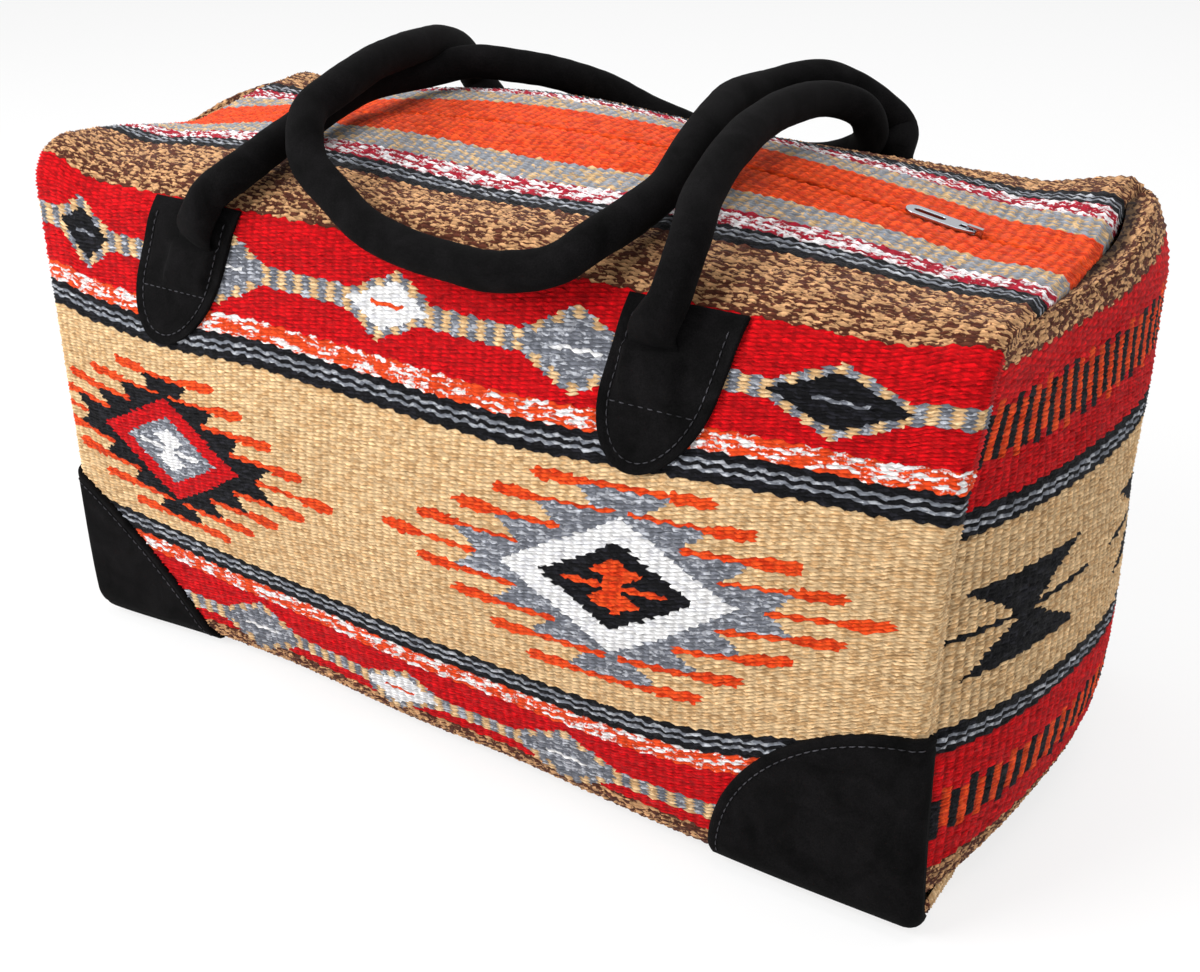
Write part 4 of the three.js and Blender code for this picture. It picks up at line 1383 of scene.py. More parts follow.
@dataclass
class CornerPatch:
    """Suede over a bottom corner, from a quarter round to a straight cut, sewn into the end seam."""

    form: BagForm
    side: Side
    end: End
    width: float
    height: float
    bow: float
    foot: float = 0.0035
    thickness: float = 0.002
    seam_turn: float = 1.5
    seam_in: float = 0.0045
    bevel: float = 0.0012
    groove: float = 0.0004
    groove_width: float = 0.0010
    sink: float = 0.0004
    rows: int = 60
    columns: int = 60

    @property
    def name(self) -> str:
        """Name of the frame node."""
        return f"corner_patch_{self.side.name.lower()}_{self.end.name.lower()}"

    @property
    def edge(self) -> float:
        """Length along the cloth where the patch meets the end seam."""
        return self.form.turned_in(self.seam_turn)

    def place(self, across: np.ndarray, up: np.ndarray, lift: np.ndarray | float) -> np.ndarray:
        """Puts distance from the end seam and height over the patch's foot on the bag."""
        s = self.form.distance(self.foot + up)
        return self.form.point(self.end.value * (self.edge - across), self.side.value * s, lift)

    def build(self, suede: bpy.types.Material, thread: bpy.types.Material) -> list[bpy.types.Object]:
        """Makes the patch and its seam.

        Its width shrinks with a power of the cosine as its height grows with the same power of the sine: a
        quarter round at power 1, a straight edge at power 2.

        Args:
            suede: leather finish.
            thread: finish of the stitches.

        Returns:
            The two pieces.
        """
        reach = self.width + self.form.seam_roll * (self.seam_turn - 1)
        turn = np.linspace(0, math.pi / 2, self.rows)[:, None]
        q = np.linspace(0, 1, self.columns)[None, :]
        across = q * reach * np.maximum(0, np.cos(turn)) ** self.bow
        up = np.broadcast_to(self.height * np.sin(turn) ** self.bow, across.shape)
        gauge = ((across / reach) ** (2 / self.bow) + (up / self.height) ** (2 / self.bow)) ** (self.bow / 2)
        rim = np.minimum((1 - gauge) * self.height, up + RIM_START)
        lift = LEATHER_SEAT + self.thickness
        drop = edge_drop(rim, self.seam_in, self.bevel, self.groove, self.groove_width)
        outer = self.place(across, up, lift - drop)
        inner = self.place(across, up, -self.sink)
        patch = leather_piece(self.name.replace("corner_", "suede_"), outer, inner, suede)
        arc = np.linspace(0.06, math.pi / 2 - 0.04, 200)
        scale = 1 - self.bow**0.5 * self.seam_in / self.height
        seam_across = reach * scale * np.cos(arc) ** self.bow
        seam_up = self.height * scale * np.sin(arc) ** self.bow
        path = self.place(seam_across, seam_up, lift)
        out = self.place(seam_across, seam_up, lift + MM) - path
        seam = stitched_piece(f"stitches_{self.name}", [(path, out)], Stitching(), thread)
        return [patch, seam]


# Handle routes as they lie: share of the half tab spacing, share of the way from the zip to the middle of
# the front (negative) or rear top fold, and clear height over the cloth in handle diameters
FRONT_ROUTE = (
    (-0.71, -0.93, 0.22), (-0.71, -0.8, 0.14), (-0.74, -0.55, 0.11), (-0.75, -0.26, 0.24),
    (-0.76, 0.04, 0.32), (-0.7, 0.3, 0.2), (-0.6, 0.51, 0.3), (-0.45, 0.62, 0.24), (-0.33, 0.78, 0.16),
    (-0.21, 0.9, 0.12),
    (0.01, 1.02, 0.28), (0.35, 1.08, 0.25), (0.71, 1.08, 0.18), (0.92, 1, 0.08), (0.99, 0.91, 0.2),
    (0.98, 0.86, 0.6), (0.92, 0.73, 0.84), (0.89, 0.43, 0.72), (0.9, 0.02, 0.66), (0.96, -0.43, 0.8),
    (1.01, -0.75, 0.74), (1.06, -0.9, 0.48),
)
REAR_ROUTE = (
    (-0.9, 0.97, 0.6), (-0.83, 0.84, 0.7), (-0.74, 0.51, 0.92), (-0.66, 0.12, 1.14), (-0.61, -0.22, 1.2),
    (-0.56, -0.55, 1.28), (-0.55, -0.73, 1.2), (-0.5, -0.84, 0.96), (-0.43, -0.89, 0.51),
    (-0.27, -0.95, 0.24), (-0.07, -1.02, 0.24), (0.13, -1.05, 0.33), (0.3, -1.06, 0.34),
    (0.5, -1.06, 0.45), (0.68, -1.02, 0.42), (0.77, -0.95, 0.39), (0.81, -0.84, 0.22),
    (0.81, -0.59, 0.2), (0.77, -0.21, 0.5), (0.68, 0.3, 0.62), (0.67, 0.69, 0.9), (0.72, 0.84, 1.26),
    (0.79, 0.88, 1.44), (0.84, 0.94, 1.54), (0.94, 0.96, 1.3), (1.03, 1.02, 1.1),
)


def spline(knots: np.ndarray, count: int) -> np.ndarray:
    """Smooth line through points: cubic spans whose end slopes come from centripetal knot spacing.

    Args:
        knots: places to pass through.
        count: points to a span.

    Returns:
        Close places from the second knot to the last but one.
    """
    p0, p1, p2, p3 = knots[:-3], knots[1:-2], knots[2:-1], knots[3:]
    gaps = [np.sqrt(np.linalg.norm(b - a, axis=1))[:, None] for a, b in ((p0, p1), (p1, p2), (p2, p3))]
    first = ((p1 - p0) / gaps[0] - (p2 - p0) / (gaps[0] + gaps[1]) + (p2 - p1) / gaps[1]) * gaps[1]
    last = ((p2 - p1) / gaps[1] - (p3 - p1) / (gaps[1] + gaps[2]) + (p3 - p2) / gaps[2]) * gaps[1]
    t = np.linspace(0, 1, count, endpoint=False)[None, :, None]
    a, b, m, n = p1[:, None], p2[:, None], first[:, None], last[:, None]
    line = a + m * t + (3 * (b - a) - 2 * m - n) * t**2 + (2 * (a - b) + m + n) * t**3
    return np.concatenate([line.reshape(-1, 3), p2[-1:]])


@dataclass
class Handle:
    """Rolled suede handle: a round grip with flat tongues sewn under two tabs."""

    form: BagForm
    side: Side
    tab: HandleTab
    diameter: float = 0.018
    lean: tuple[float, float] = (0.006, 0.008)
    tongue: float = 0.020
    tongue_half_thick: float = 0.0016
    tongue_seat: float = 0.0005
    flare: float = 0.018
    climb: float = 0.008
    gap: float = 0.0003
    core_radius: float = 0.0073
    core_tip: float = 0.0001
    lay: float = 0.040
    crease: float = 0.00010
    lumps: tuple[float, float] = (0.00015, 0.00012)
    span_points: int = 8
    sides: int = 28

    @property
    def radius(self) -> float:
        """Half of the grip's diameter."""
        return self.diameter / 2

    def shape(self, d: np.ndarray) -> tuple[np.ndarray, np.ndarray, np.ndarray, np.ndarray]:
        """Sizes at a distance from the sewn end: the flat tongue opens out to the round grip.

        Args:
            d: distance from the tip of the tongue.

        Returns:
            Half thickness, half width, lift of the middle over the cloth, and share of the sideways lean.
        """
        share = smooth(self.tongue, self.tongue + self.flare, d)
        climb = smooth(self.tongue - self.gap, self.tongue + self.climb - self.gap, d)
        thick = self.tongue_half_thick + (self.radius - self.tongue_half_thick) * share
        wide = self.tab.tongue_half + (self.radius - self.tab.tongue_half) * share
        under = self.tongue_seat + (self.gap + self.tab.thickness) * climb
        return thick, wide, under + thick, share**2

    def end_points(self, end: End, d: np.ndarray) -> np.ndarray:
        """Middle line of one sewn end, from the tip of the tongue up the face of the bag."""
        _, _, lift, lean = self.shape(d)
        depth = self.tab.slot + self.tongue - d
        x = self.tab.shift + end.value * self.tab.spacing / 2 + lean * self.lean[end is End.RIGHT]
        x = x + self.tab.pocket(end, depth)
        s = self.form.distance(self.tab.top - depth)
        return self.form.point(x, self.side.value * s, lift)

    def line(self) -> tuple[np.ndarray, np.ndarray, np.ndarray]:
        """Middle line with half sizes, from the left tongue over the route to the right tongue.

        Returns:
            Places, half thicknesses and half widths.
        """
        stop = self.tongue + self.flare
        d = np.linspace(0, stop, 24)
        last_two = np.array([stop - 0.225 * self.flare, stop])
        route = np.array(FRONT_ROUTE if self.side is Side.FRONT else REAR_ROUTE)
        fold_middle = self.form.top_flat + self.form.top_fold * math.pi / 4
        free = self.form.point(
            self.tab.shift + route[:, 0] * self.tab.spacing / 2,
            route[:, 1] * fold_middle,
            self.radius + route[:, 2] * self.diameter,
        )
        left = self.end_points(End.LEFT, last_two)
        right = self.end_points(End.RIGHT, last_two)[::-1]
        loop = spline(np.concatenate([left, free, right]), self.span_points)
        start = self.end_points(End.LEFT, d[:-1])
        finish = self.end_points(End.RIGHT, d[:-1])[::-1]
        thick, wide, _, _ = self.shape(d[:-1])
        grip = np.full(len(loop), self.radius)
        places = np.concatenate([start, loop, finish])
        return places, np.concatenate([thick, grip, thick[::-1]]), np.concatenate([wide, grip, wide[::-1]])

    def frames(self, places: np.ndarray) -> tuple[np.ndarray, np.ndarray]:
        """Directions across and up at each ring, carried along the line without needless twist.

        Both sewn ends lie level along the bag, and the turn that is left over is spread over the free part.

        Args:
            places: middle line.

        Returns:
            Unit directions across and up.
        """
        ahead = np.gradient(places, axis=0)
        ahead /= np.linalg.norm(ahead, axis=1, keepdims=True)
        across = np.empty_like(ahead)
        across[0] = np.array([1.0, 0, 0]) - ahead[0, 0] * ahead[0]
        for i in range(1, len(ahead)):
            carried = across[i - 1] - np.dot(across[i - 1], ahead[i]) * ahead[i]
            across[i] = carried / np.linalg.norm(carried)
        wanted = np.array([1.0, 0, 0]) - ahead[-1, 0] * ahead[-1]
        wanted /= np.linalg.norm(wanted)
        sine = np.dot(np.cross(across[-1], wanted), ahead[-1])
        turn = math.atan2(sine, np.dot(across[-1], wanted))
        turn -= math.pi * round(turn / math.pi)
        count = len(places)
        angle = (turn * smooth(26, count - 26, np.arange(count)))[:, None]
        up = np.cross(ahead, across)
        turned = across * np.cos(angle) + up * np.sin(angle)
        return turned, np.cross(ahead, turned)

    def build(self, suede: bpy.types.Material) -> bpy.types.Object:
        """Makes the suede tube, with slight creases across it and gentle lumps along it.

        Args:
            suede: leather finish.

        Returns:
            The piece.
        """
        places, thick, wide = self.line()
        across, up = self.frames(places)
        angle = np.linspace(0, 2 * math.pi, self.sides, endpoint=False)[None, :]
        r = run_along(places)[:, None]
        crease = self.crease * np.sin(r * 520 + 2.1 * np.sin(angle + r * 9)) * np.sin(angle + r * 14)
        lump = self.lumps[0] * np.sin(r * 95 + 1.7) + self.lumps[1] * np.sin(r * 163 + angle)
        grip = smooth(0.004, self.radius, thick)[:, None]
        more = (crease + lump) * grip
        wide_off = (wide[:, None] + more) * np.cos(angle)
        thick_off = (thick[:, None] + more) * np.sin(angle)
        points = places[:, None] + across[:, None] * wide_off[..., None] + up[:, None] * thick_off[..., None]
        points = points.reshape(-1, 3)
        faces = turned_out(points, grid_faces(len(places), self.sides, around=True))
        return make_piece(f"suede_handle_{self.side.name.lower()}", points, faces, suede)

    def core(self, rope: bpy.types.Material) -> bpy.types.Object:
        """Makes the three-strand rope inside the round part, whose strands wind once in every lay length.

        Args:
            rope: finish of the rope.

        Returns:
            The piece.
        """
        places, thick, _ = self.line()
        round_part = np.nonzero(thick > 0.98 * self.radius)[0]
        across, up = self.frames(places)
        places, across, up, run = (part[round_part] for part in (places, across, up, run_along(places)))
        angle = np.linspace(0, 2 * math.pi, self.sides, endpoint=False)[None, :]
        wind = 1.5 * angle - 1.5 * run[:, None] / self.lay * 2 * math.pi
        radius = self.core_radius * (0.86 + 0.14 * np.abs(np.cos(wind)))
        radius[[0, -1]] = self.core_tip
        ring = across[:, None] * np.cos(angle)[..., None] + up[:, None] * np.sin(angle)[..., None]
        points = (places[:, None] + ring * radius[..., None]).reshape(-1, 3)
        faces = turned_out(points, grid_faces(len(places), self.sides, around=True))
        piece = make_piece(f"rope_core_{self.side.name.lower()}", points, faces, rope)
        weld(piece, 3 * self.core_tip)
        return piece


class NodeTree:
    """Small helper that adds and links nodes in a shader tree."""

    def __init__(self, tree: bpy.types.NodeTree) -> None:
        """Keeps the tree."""
        self.tree = tree

    def add(self, kind: str, **values: object) -> bpy.types.Node:
        """Adds a node and sets its properties or input values.

        Args:
            kind: Blender's node type name.
            values: property names, or input names with spaces written as underscores.

        Returns:
            The node.
        """
        node = self.tree.nodes.new(kind)
        for key, value in values.items():
            if hasattr(node, key):
                setattr(node, key, value)
            else:
                node.inputs[key.replace("_", " ")].default_value = value
        return node

    def link(self, source: bpy.types.NodeSocket, target: bpy.types.NodeSocket) -> None:
        """Links two sockets."""
        self.tree.links.new(source, target)

    def math(self, operation: str, a: object, b: object) -> bpy.types.NodeSocket:
        """Adds a Math node of two values or sockets and returns its output."""
        node = self.tree.nodes.new("ShaderNodeMath")
        node.operation = operation
        for socket, value in zip(node.inputs, (a, b)):
            if isinstance(value, (int, float)):
                socket.default_value = value
            else:
                self.link(value, socket)
        return node.outputs[0]

    def seen(self) -> bpy.types.NodeSocket:
        """Adds a value that is 1 for what the camera, mirrors and glass look at, and 0 for falling light."""
        path = self.add("ShaderNodeLightPath").outputs
        straight = self.math("MAXIMUM", path["Is Camera Ray"], path["Is Glossy Ray"])
        return self.math("MAXIMUM", straight, path["Is Transmission Ray"])

    def bump(self, height: bpy.types.NodeSocket, shader: bpy.types.Node, strength: float,
             distance: float) -> None:
        """Bends a shader's normals by a height."""
        node = self.add("ShaderNodeBump", Strength=strength, Distance=distance)
        self.link(height, node.inputs["Height"])
        self.link(node.outputs["Normal"], shader.inputs["Normal"])


def new_group(name: str, inputs: dict[str, str],
              outputs: dict[str, str]) -> tuple[bpy.types.NodeTree, NodeTree]:
    """Makes an empty shader node group.

    Args:
        name: group name.
        inputs: socket types by name.
        outputs: socket types by name.

    Returns:
        The group and its helper; its nodes named Group Input and Group Output are in place.
    """
    group = bpy.data.node_groups.new(name, "ShaderNodeTree")
    for label, kind in inputs.items():
        group.interface.new_socket(label, in_out="INPUT", socket_type=kind)
    for label, kind in outputs.items():
        group.interface.new_socket(label, in_out="OUTPUT", socket_type=kind)
    group.nodes.new("NodeGroupInput")
    group.nodes.new("NodeGroupOutput")
    return group, NodeTree(group)


def fibre_group() -> bpy.types.NodeTree:
    """Makes the fibre group: drawn-out noise for strands and fine noise for fuzz, as a tint and a height."""
    group, nodes = new_group(
        "strand_fibre",
        {"Vector": "NodeSocketVector", "Strand Scale": "NodeSocketVector", "Depth": "NodeSocketFloat"},
        {"Tint": "NodeSocketFloat", "Height": "NodeSocketFloat"},
    )
    entry = group.nodes["Group Input"].outputs
    leave = group.nodes["Group Output"].inputs
    mapping = nodes.add("ShaderNodeMapping")
    nodes.link(entry["Vector"], mapping.inputs["Vector"])
    nodes.link(entry["Strand Scale"], mapping.inputs["Scale"])
    strand = nodes.add("ShaderNodeTexNoise", Scale=1.0, Detail=3.0, Roughness=0.6)
    nodes.link(mapping.outputs["Vector"], strand.inputs["Vector"])
    fuzz = nodes.add("ShaderNodeTexNoise", Scale=900.0, Detail=2.0, Roughness=0.7)
    nodes.link(entry["Vector"], fuzz.inputs["Vector"])
    both = nodes.math("ADD", strand.outputs["Fac"], nodes.math("MULTIPLY", fuzz.outputs["Fac"], 0.6))
    centred = nodes.math("SUBTRACT", both, 0.8)
    nodes.link(nodes.math("ADD", nodes.math("MULTIPLY", centred, entry["Depth"]), 1.0), leave["Tint"])
    nodes.link(both, leave["Height"])
    return group


def marl_group() -> bpy.types.NodeTree:
    """Makes the marl group: a mask of dashes along each row of beads, by the second colour's share."""
    group, nodes = new_group(
        "marled_strands",
        {"Vector": "NodeSocketVector", "Strand Scale": "NodeSocketVector", "Row": "NodeSocketFloat",
         "Long": "NodeSocketFloat", "Share": "NodeSocketFloat"},
        {"Mask": "NodeSocketFloat"},
    )
    entry = group.nodes["Group Input"].outputs
    mapping = nodes.add("ShaderNodeMapping")
    nodes.link(entry["Vector"], mapping.inputs["Vector"])
    nodes.link(entry["Strand Scale"], mapping.inputs["Scale"])
    drawn = nodes.add("ShaderNodeVectorMath", operation="SCALE")
    nodes.link(mapping.outputs["Vector"], drawn.inputs[0])
    shrink = nodes.math("SUBTRACT", 1.0, nodes.math("MULTIPLY", entry["Long"], 0.42))
    nodes.link(shrink, drawn.inputs["Scale"])
    apart = nodes.add("ShaderNodeCombineXYZ")
    nodes.link(nodes.math("MULTIPLY", entry["Row"], 5.7), apart.inputs["Z"])
    place = nodes.add("ShaderNodeVectorMath", operation="ADD")
    nodes.link(drawn.outputs["Vector"], place.inputs[0])
    nodes.link(apart.outputs["Vector"], place.inputs[1])
    strand = nodes.add("ShaderNodeTexNoise", Scale=1.0, Detail=1.0, Roughness=0.5)
    nodes.link(place.outputs["Vector"], strand.inputs["Vector"])
    fine = nodes.add("ShaderNodeTexNoise", Scale=750.0, Detail=1.0)
    nodes.link(entry["Vector"], fine.inputs["Vector"])
    both = nodes.math("ADD", strand.outputs["Fac"], nodes.math("MULTIPLY", fine.outputs["Fac"], 0.30))
    level = nodes.math("MULTIPLY", nodes.math("SUBTRACT", entry["Share"], 0.5), 0.40)
    cut = nodes.add("ShaderNodeMapRange", From_Min=0.615, From_Max=0.685)
    nodes.link(nodes.math("ADD", both, level), cut.inputs["Value"])
    nodes.link(cut.outputs["Result"], group.nodes["Group Output"].inputs["Mask"])
    return group


def nap_group() -> bpy.types.NodeTree:
    """Makes the nap group: brushed patches and a fine grain, as a mask, a grain and a height."""
    group, nodes = new_group(
        "brushed_nap",
        {"Vector": "NodeSocketVector", "Grain Scale": "NodeSocketFloat"},
        {"Patches": "NodeSocketFloat", "Grain": "NodeSocketFloat", "Height": "NodeSocketFloat"},
    )
    entry = group.nodes["Group Input"].outputs
    leave = group.nodes["Group Output"].inputs
    patches = nodes.add("ShaderNodeTexNoise", Scale=55.0, Detail=5.0, Roughness=0.62, Distortion=0.6)
    nodes.link(entry["Vector"], patches.inputs["Vector"])
    grain = nodes.add("ShaderNodeTexNoise", Detail=3.0, Roughness=0.7)
    nodes.link(entry["Vector"], grain.inputs["Vector"])
    nodes.link(entry["Grain Scale"], grain.inputs["Scale"])
    nodes.link(patches.outputs["Fac"], leave["Patches"])
    nodes.link(grain.outputs["Fac"], leave["Grain"])
    nodes.link(nodes.math("ADD", grain.outputs["Fac"], patches.outputs["Fac"]), leave["Height"])
    return group


def new_material(name: str, **values: object) -> tuple[bpy.types.Material, NodeTree, bpy.types.Node]:
    """Makes a material with a Principled shader.

    Args:
        name: material name.
        values: the shader's input values, with spaces in input names written as underscores.

    Returns:
        The material, its node helper and the shader.
    """
    material = bpy.data.materials.new(name)
    material.use_nodes = True
    shader = material.node_tree.nodes["Principled BSDF"]
    for key, value in values.items():
        shader.inputs[key.replace("_", " ")].default_value = value
    return material, NodeTree(material.node_tree), shader


@dataclass(frozen=True)
class WoolFinish:
    """Hand-spun wool: bead colours from the weave with painted shade between the beads, strands along the
    weft and a soft sheen.
    """

    name: str
    strand_scale: tuple[float, float, float]
    marl_scale: tuple[float, float, float]
    depth: float = 0.9
    # Colour share left at the deepest painted shade, in the gaps between beads and in the end seams
    gap: float = 0.08
    bump: float = 0.6

    def build(self, fibre: bpy.types.NodeTree, marl: bpy.types.NodeTree) -> bpy.types.Material:
        """Makes the material from the fibre and marl groups.

        Args:
            fibre: strands and fuzz.
            marl: mask of the second colour.

        Returns:
            The material.
        """
        material, nodes, shader = new_material(
            self.name, Roughness=0.95, Specular_IOR_Level=0.08, Sheen_Weight=0.06, Sheen_Roughness=0.5)
        yarn = nodes.add("ShaderNodeAttribute", attribute_name="yarn")
        where = nodes.add("ShaderNodeTexCoord")
        effect = nodes.add("ShaderNodeGroup", node_tree=fibre)
        effect.inputs["Strand Scale"].default_value = self.strand_scale
        effect.inputs["Depth"].default_value = self.depth
        nodes.link(where.outputs["Object"], effect.inputs["Vector"])
        # Painted shade: the crest attribute darkens the colour in the gaps between beads and in the end
        # seams, and lifts it a little on the crests
        crest = nodes.add("ShaderNodeAttribute", attribute_name="crest")
        shade = nodes.add("ShaderNodeMapRange", From_Min=-0.4, From_Max=0.9, To_Min=self.gap, To_Max=1.06)
        nodes.link(crest.outputs["Fac"], shade.inputs["Value"])
        tint = nodes.add("ShaderNodeVectorMath", operation="SCALE")
        fleck = nodes.add("ShaderNodeAttribute", attribute_name="fleck")
        mask = nodes.add("ShaderNodeGroup", node_tree=marl)
        mask.inputs["Strand Scale"].default_value = self.marl_scale
        nodes.link(where.outputs["Object"], mask.inputs["Vector"])
        nodes.link(fleck.outputs["Alpha"], mask.inputs["Share"])
        for label, socket in (("row", "Row"), ("long", "Long")):
            told = nodes.add("ShaderNodeAttribute", attribute_name=label)
            nodes.link(told.outputs["Fac"], mask.inputs[socket])
        strands = nodes.add("ShaderNodeMix", data_type="RGBA")
        nodes.link(mask.outputs["Mask"], strands.inputs["Factor"])
        nodes.link(yarn.outputs["Color"], strands.inputs[6])
        nodes.link(fleck.outputs["Color"], strands.inputs[7])
        nodes.link(strands.outputs[2], tint.inputs[0])
        both = nodes.math("MULTIPLY", effect.outputs["Tint"], shade.outputs["Result"])
        nodes.link(both, tint.inputs["Scale"])
        nodes.link(tint.outputs["Vector"], shader.inputs["Base Color"])
        nodes.bump(effect.outputs["Height"], shader, self.bump, 0.0006)
        return material


@dataclass(frozen=True)
class SuedeFinish:
    """Brushed leather or thread: two dark tones mixed by the nap, with a matt face."""

    name: str
    dark: tuple[int, int, int] = (3, 3, 3)
    light: tuple[int, int, int] = (20, 19, 20)
    roughness: float = 0.96
    sheen: float = 0.0
    grain_scale: float = 1500.0
    bump: float = 0.35

    def build(self, nap: bpy.types.NodeTree) -> bpy.types.Material:
        """Makes the material from the nap group."""
        material, nodes, shader = new_material(
            self.name, Roughness=self.roughness, Specular_IOR_Level=0.06, Sheen_Weight=self.sheen,
            Sheen_Roughness=0.4)
        where = nodes.add("ShaderNodeTexCoord")
        effect = nodes.add("ShaderNodeGroup", node_tree=nap)
        effect.inputs["Grain Scale"].default_value = self.grain_scale
        nodes.link(where.outputs["Object"], effect.inputs["Vector"])
        mixed = nodes.math("MULTIPLY", effect.outputs["Patches"], effect.outputs["Grain"])
        ramp = nodes.add("ShaderNodeValToRGB")
        for step, at, colour in zip(ramp.color_ramp.elements, (0.14, 0.42), (self.dark, self.light)):
            step.position = at
            step.color = (*linear(colour), 1)
        nodes.link(mixed, ramp.inputs["Fac"])
        nodes.link(ramp.outputs["Color"], shader.inputs["Base Color"])
        nodes.bump(effect.outputs["Height"], shader, self.bump, 0.0004)
        return material


@dataclass(frozen=True)
class MetalFinish:
    """Bright plated metal with faint uneven polish."""

    name: str = "bright_plating"
    colour: tuple[int, int, int] = (168, 170, 176)

    def build(self) -> bpy.types.Material:
        """Makes the material."""
        material, nodes, shader = new_material(self.name, Metallic=1.0, Base_Color=(*linear(self.colour), 1))
        where = nodes.add("ShaderNodeTexCoord")
        polish = nodes.add("ShaderNodeTexNoise", Scale=260.0, Detail=4.0)
        nodes.link(where.outputs["Object"], polish.inputs["Vector"])
        rough = nodes.add("ShaderNodeMapRange", From_Min=0.3, From_Max=0.7, To_Min=0.10, To_Max=0.26)
        nodes.link(polish.outputs["Fac"], rough.inputs["Value"])
        nodes.link(rough.outputs["Result"], shader.inputs["Roughness"])
        return material


@dataclass
class ZipPull:
    """Bright flat loop with a long slot, hanging in the slider's bail."""

    form: BagForm
    length: float = 0.033
    width: float = 0.0105
    thickness: float = 0.0015
    slot_length: float = 0.015
    slot_width: float = 0.004
    bail_length: float = 0.0072
    bail_width: float = 0.0024
    running_gap: float = 0.00045
    axis_lift: float = 0.00105
    bevel: float = 0.0003
    rest: float = 0.2125

    def loops(self) -> list[np.ndarray]:
        """Outline, bail window and slot, in the pull's own plane from its bar.

        Returns:
            Closed lines of X and Y.
        """
        bar = self.thickness / 2
        corner = self.width / 2
        arc = np.linspace(math.pi / 2, 1.5 * math.pi, 33)
        head = np.stack([corner - self.length + corner * np.cos(arc), corner * np.sin(arc)], axis=-1)
        outline = np.concatenate(
            [[[bar, -self.bail_width], [bar, self.bail_width], [-self.bail_length, corner]], head,
             [[-self.bail_length, -corner]]]
        )
        half = self.bail_width / 2 + self.running_gap
        far = -self.bail_length
        window = np.array([[-bar, -half], [far, -half], [far, half], [-bar, half]])
        r = self.slot_width / 2
        start = self.slot_width - self.length
        left = np.stack([start + r + r * np.cos(arc), r * np.sin(arc)], axis=-1)
        right = np.stack([start + self.slot_length - r - r * np.cos(arc), -r * np.sin(arc)], axis=-1)
        return [outline, window, np.concatenate([left, right])]

    def build(self, material: bpy.types.Material) -> bpy.types.Object:
        """Makes the pull as a filled flat curve with rounded edges, turned to its place on the zip's arc.

        Args:
            material: metal finish.

        Returns:
            The piece.
        """
        curve = bpy.data.curves.new("pull_outline", "CURVE")
        curve.dimensions = "2D"
        curve.fill_mode = "BOTH"
        curve.extrude = self.thickness / 2 - self.bevel
        curve.bevel_depth = self.bevel
        curve.bevel_resolution = 3
        curve.offset = -self.bevel
        for loop in self.loops():
            line = curve.splines.new("POLY")
            line.points.add(len(loop) - 1)
            corners = np.concatenate([loop, np.zeros((len(loop), 1)), np.ones((len(loop), 1))], axis=1)
            line.points.foreach_set("co", corners.astype(np.float32).ravel())
            line.use_cyclic_u = True
        flat = bpy.data.objects.new("pull_outline", curve)
        bpy.context.collection.objects.link(flat)
        bpy.context.view_layer.update()
        graph = bpy.context.evaluated_depsgraph_get()
        mesh = bpy.data.meshes.new_from_object(flat.evaluated_get(graph))
        bpy.data.objects.remove(flat)
        radius = self.form.ridge_radius
        turn = Matrix.Rotation(self.rest / radius, 4, "Y")
        centre = self.form.height + self.form.crown - radius
        out = Matrix.Translation((0, 0, radius + self.axis_lift))
        mesh.transform(Matrix.Translation((0, 0, centre)) @ turn @ out)
        mesh.name = "chrome_pull"
        mesh.materials.clear()
        mesh.materials.append(material)
        piece = bpy.data.objects.new("chrome_pull", mesh)
        bpy.context.collection.objects.link(piece)
        weld(piece)
        return piece


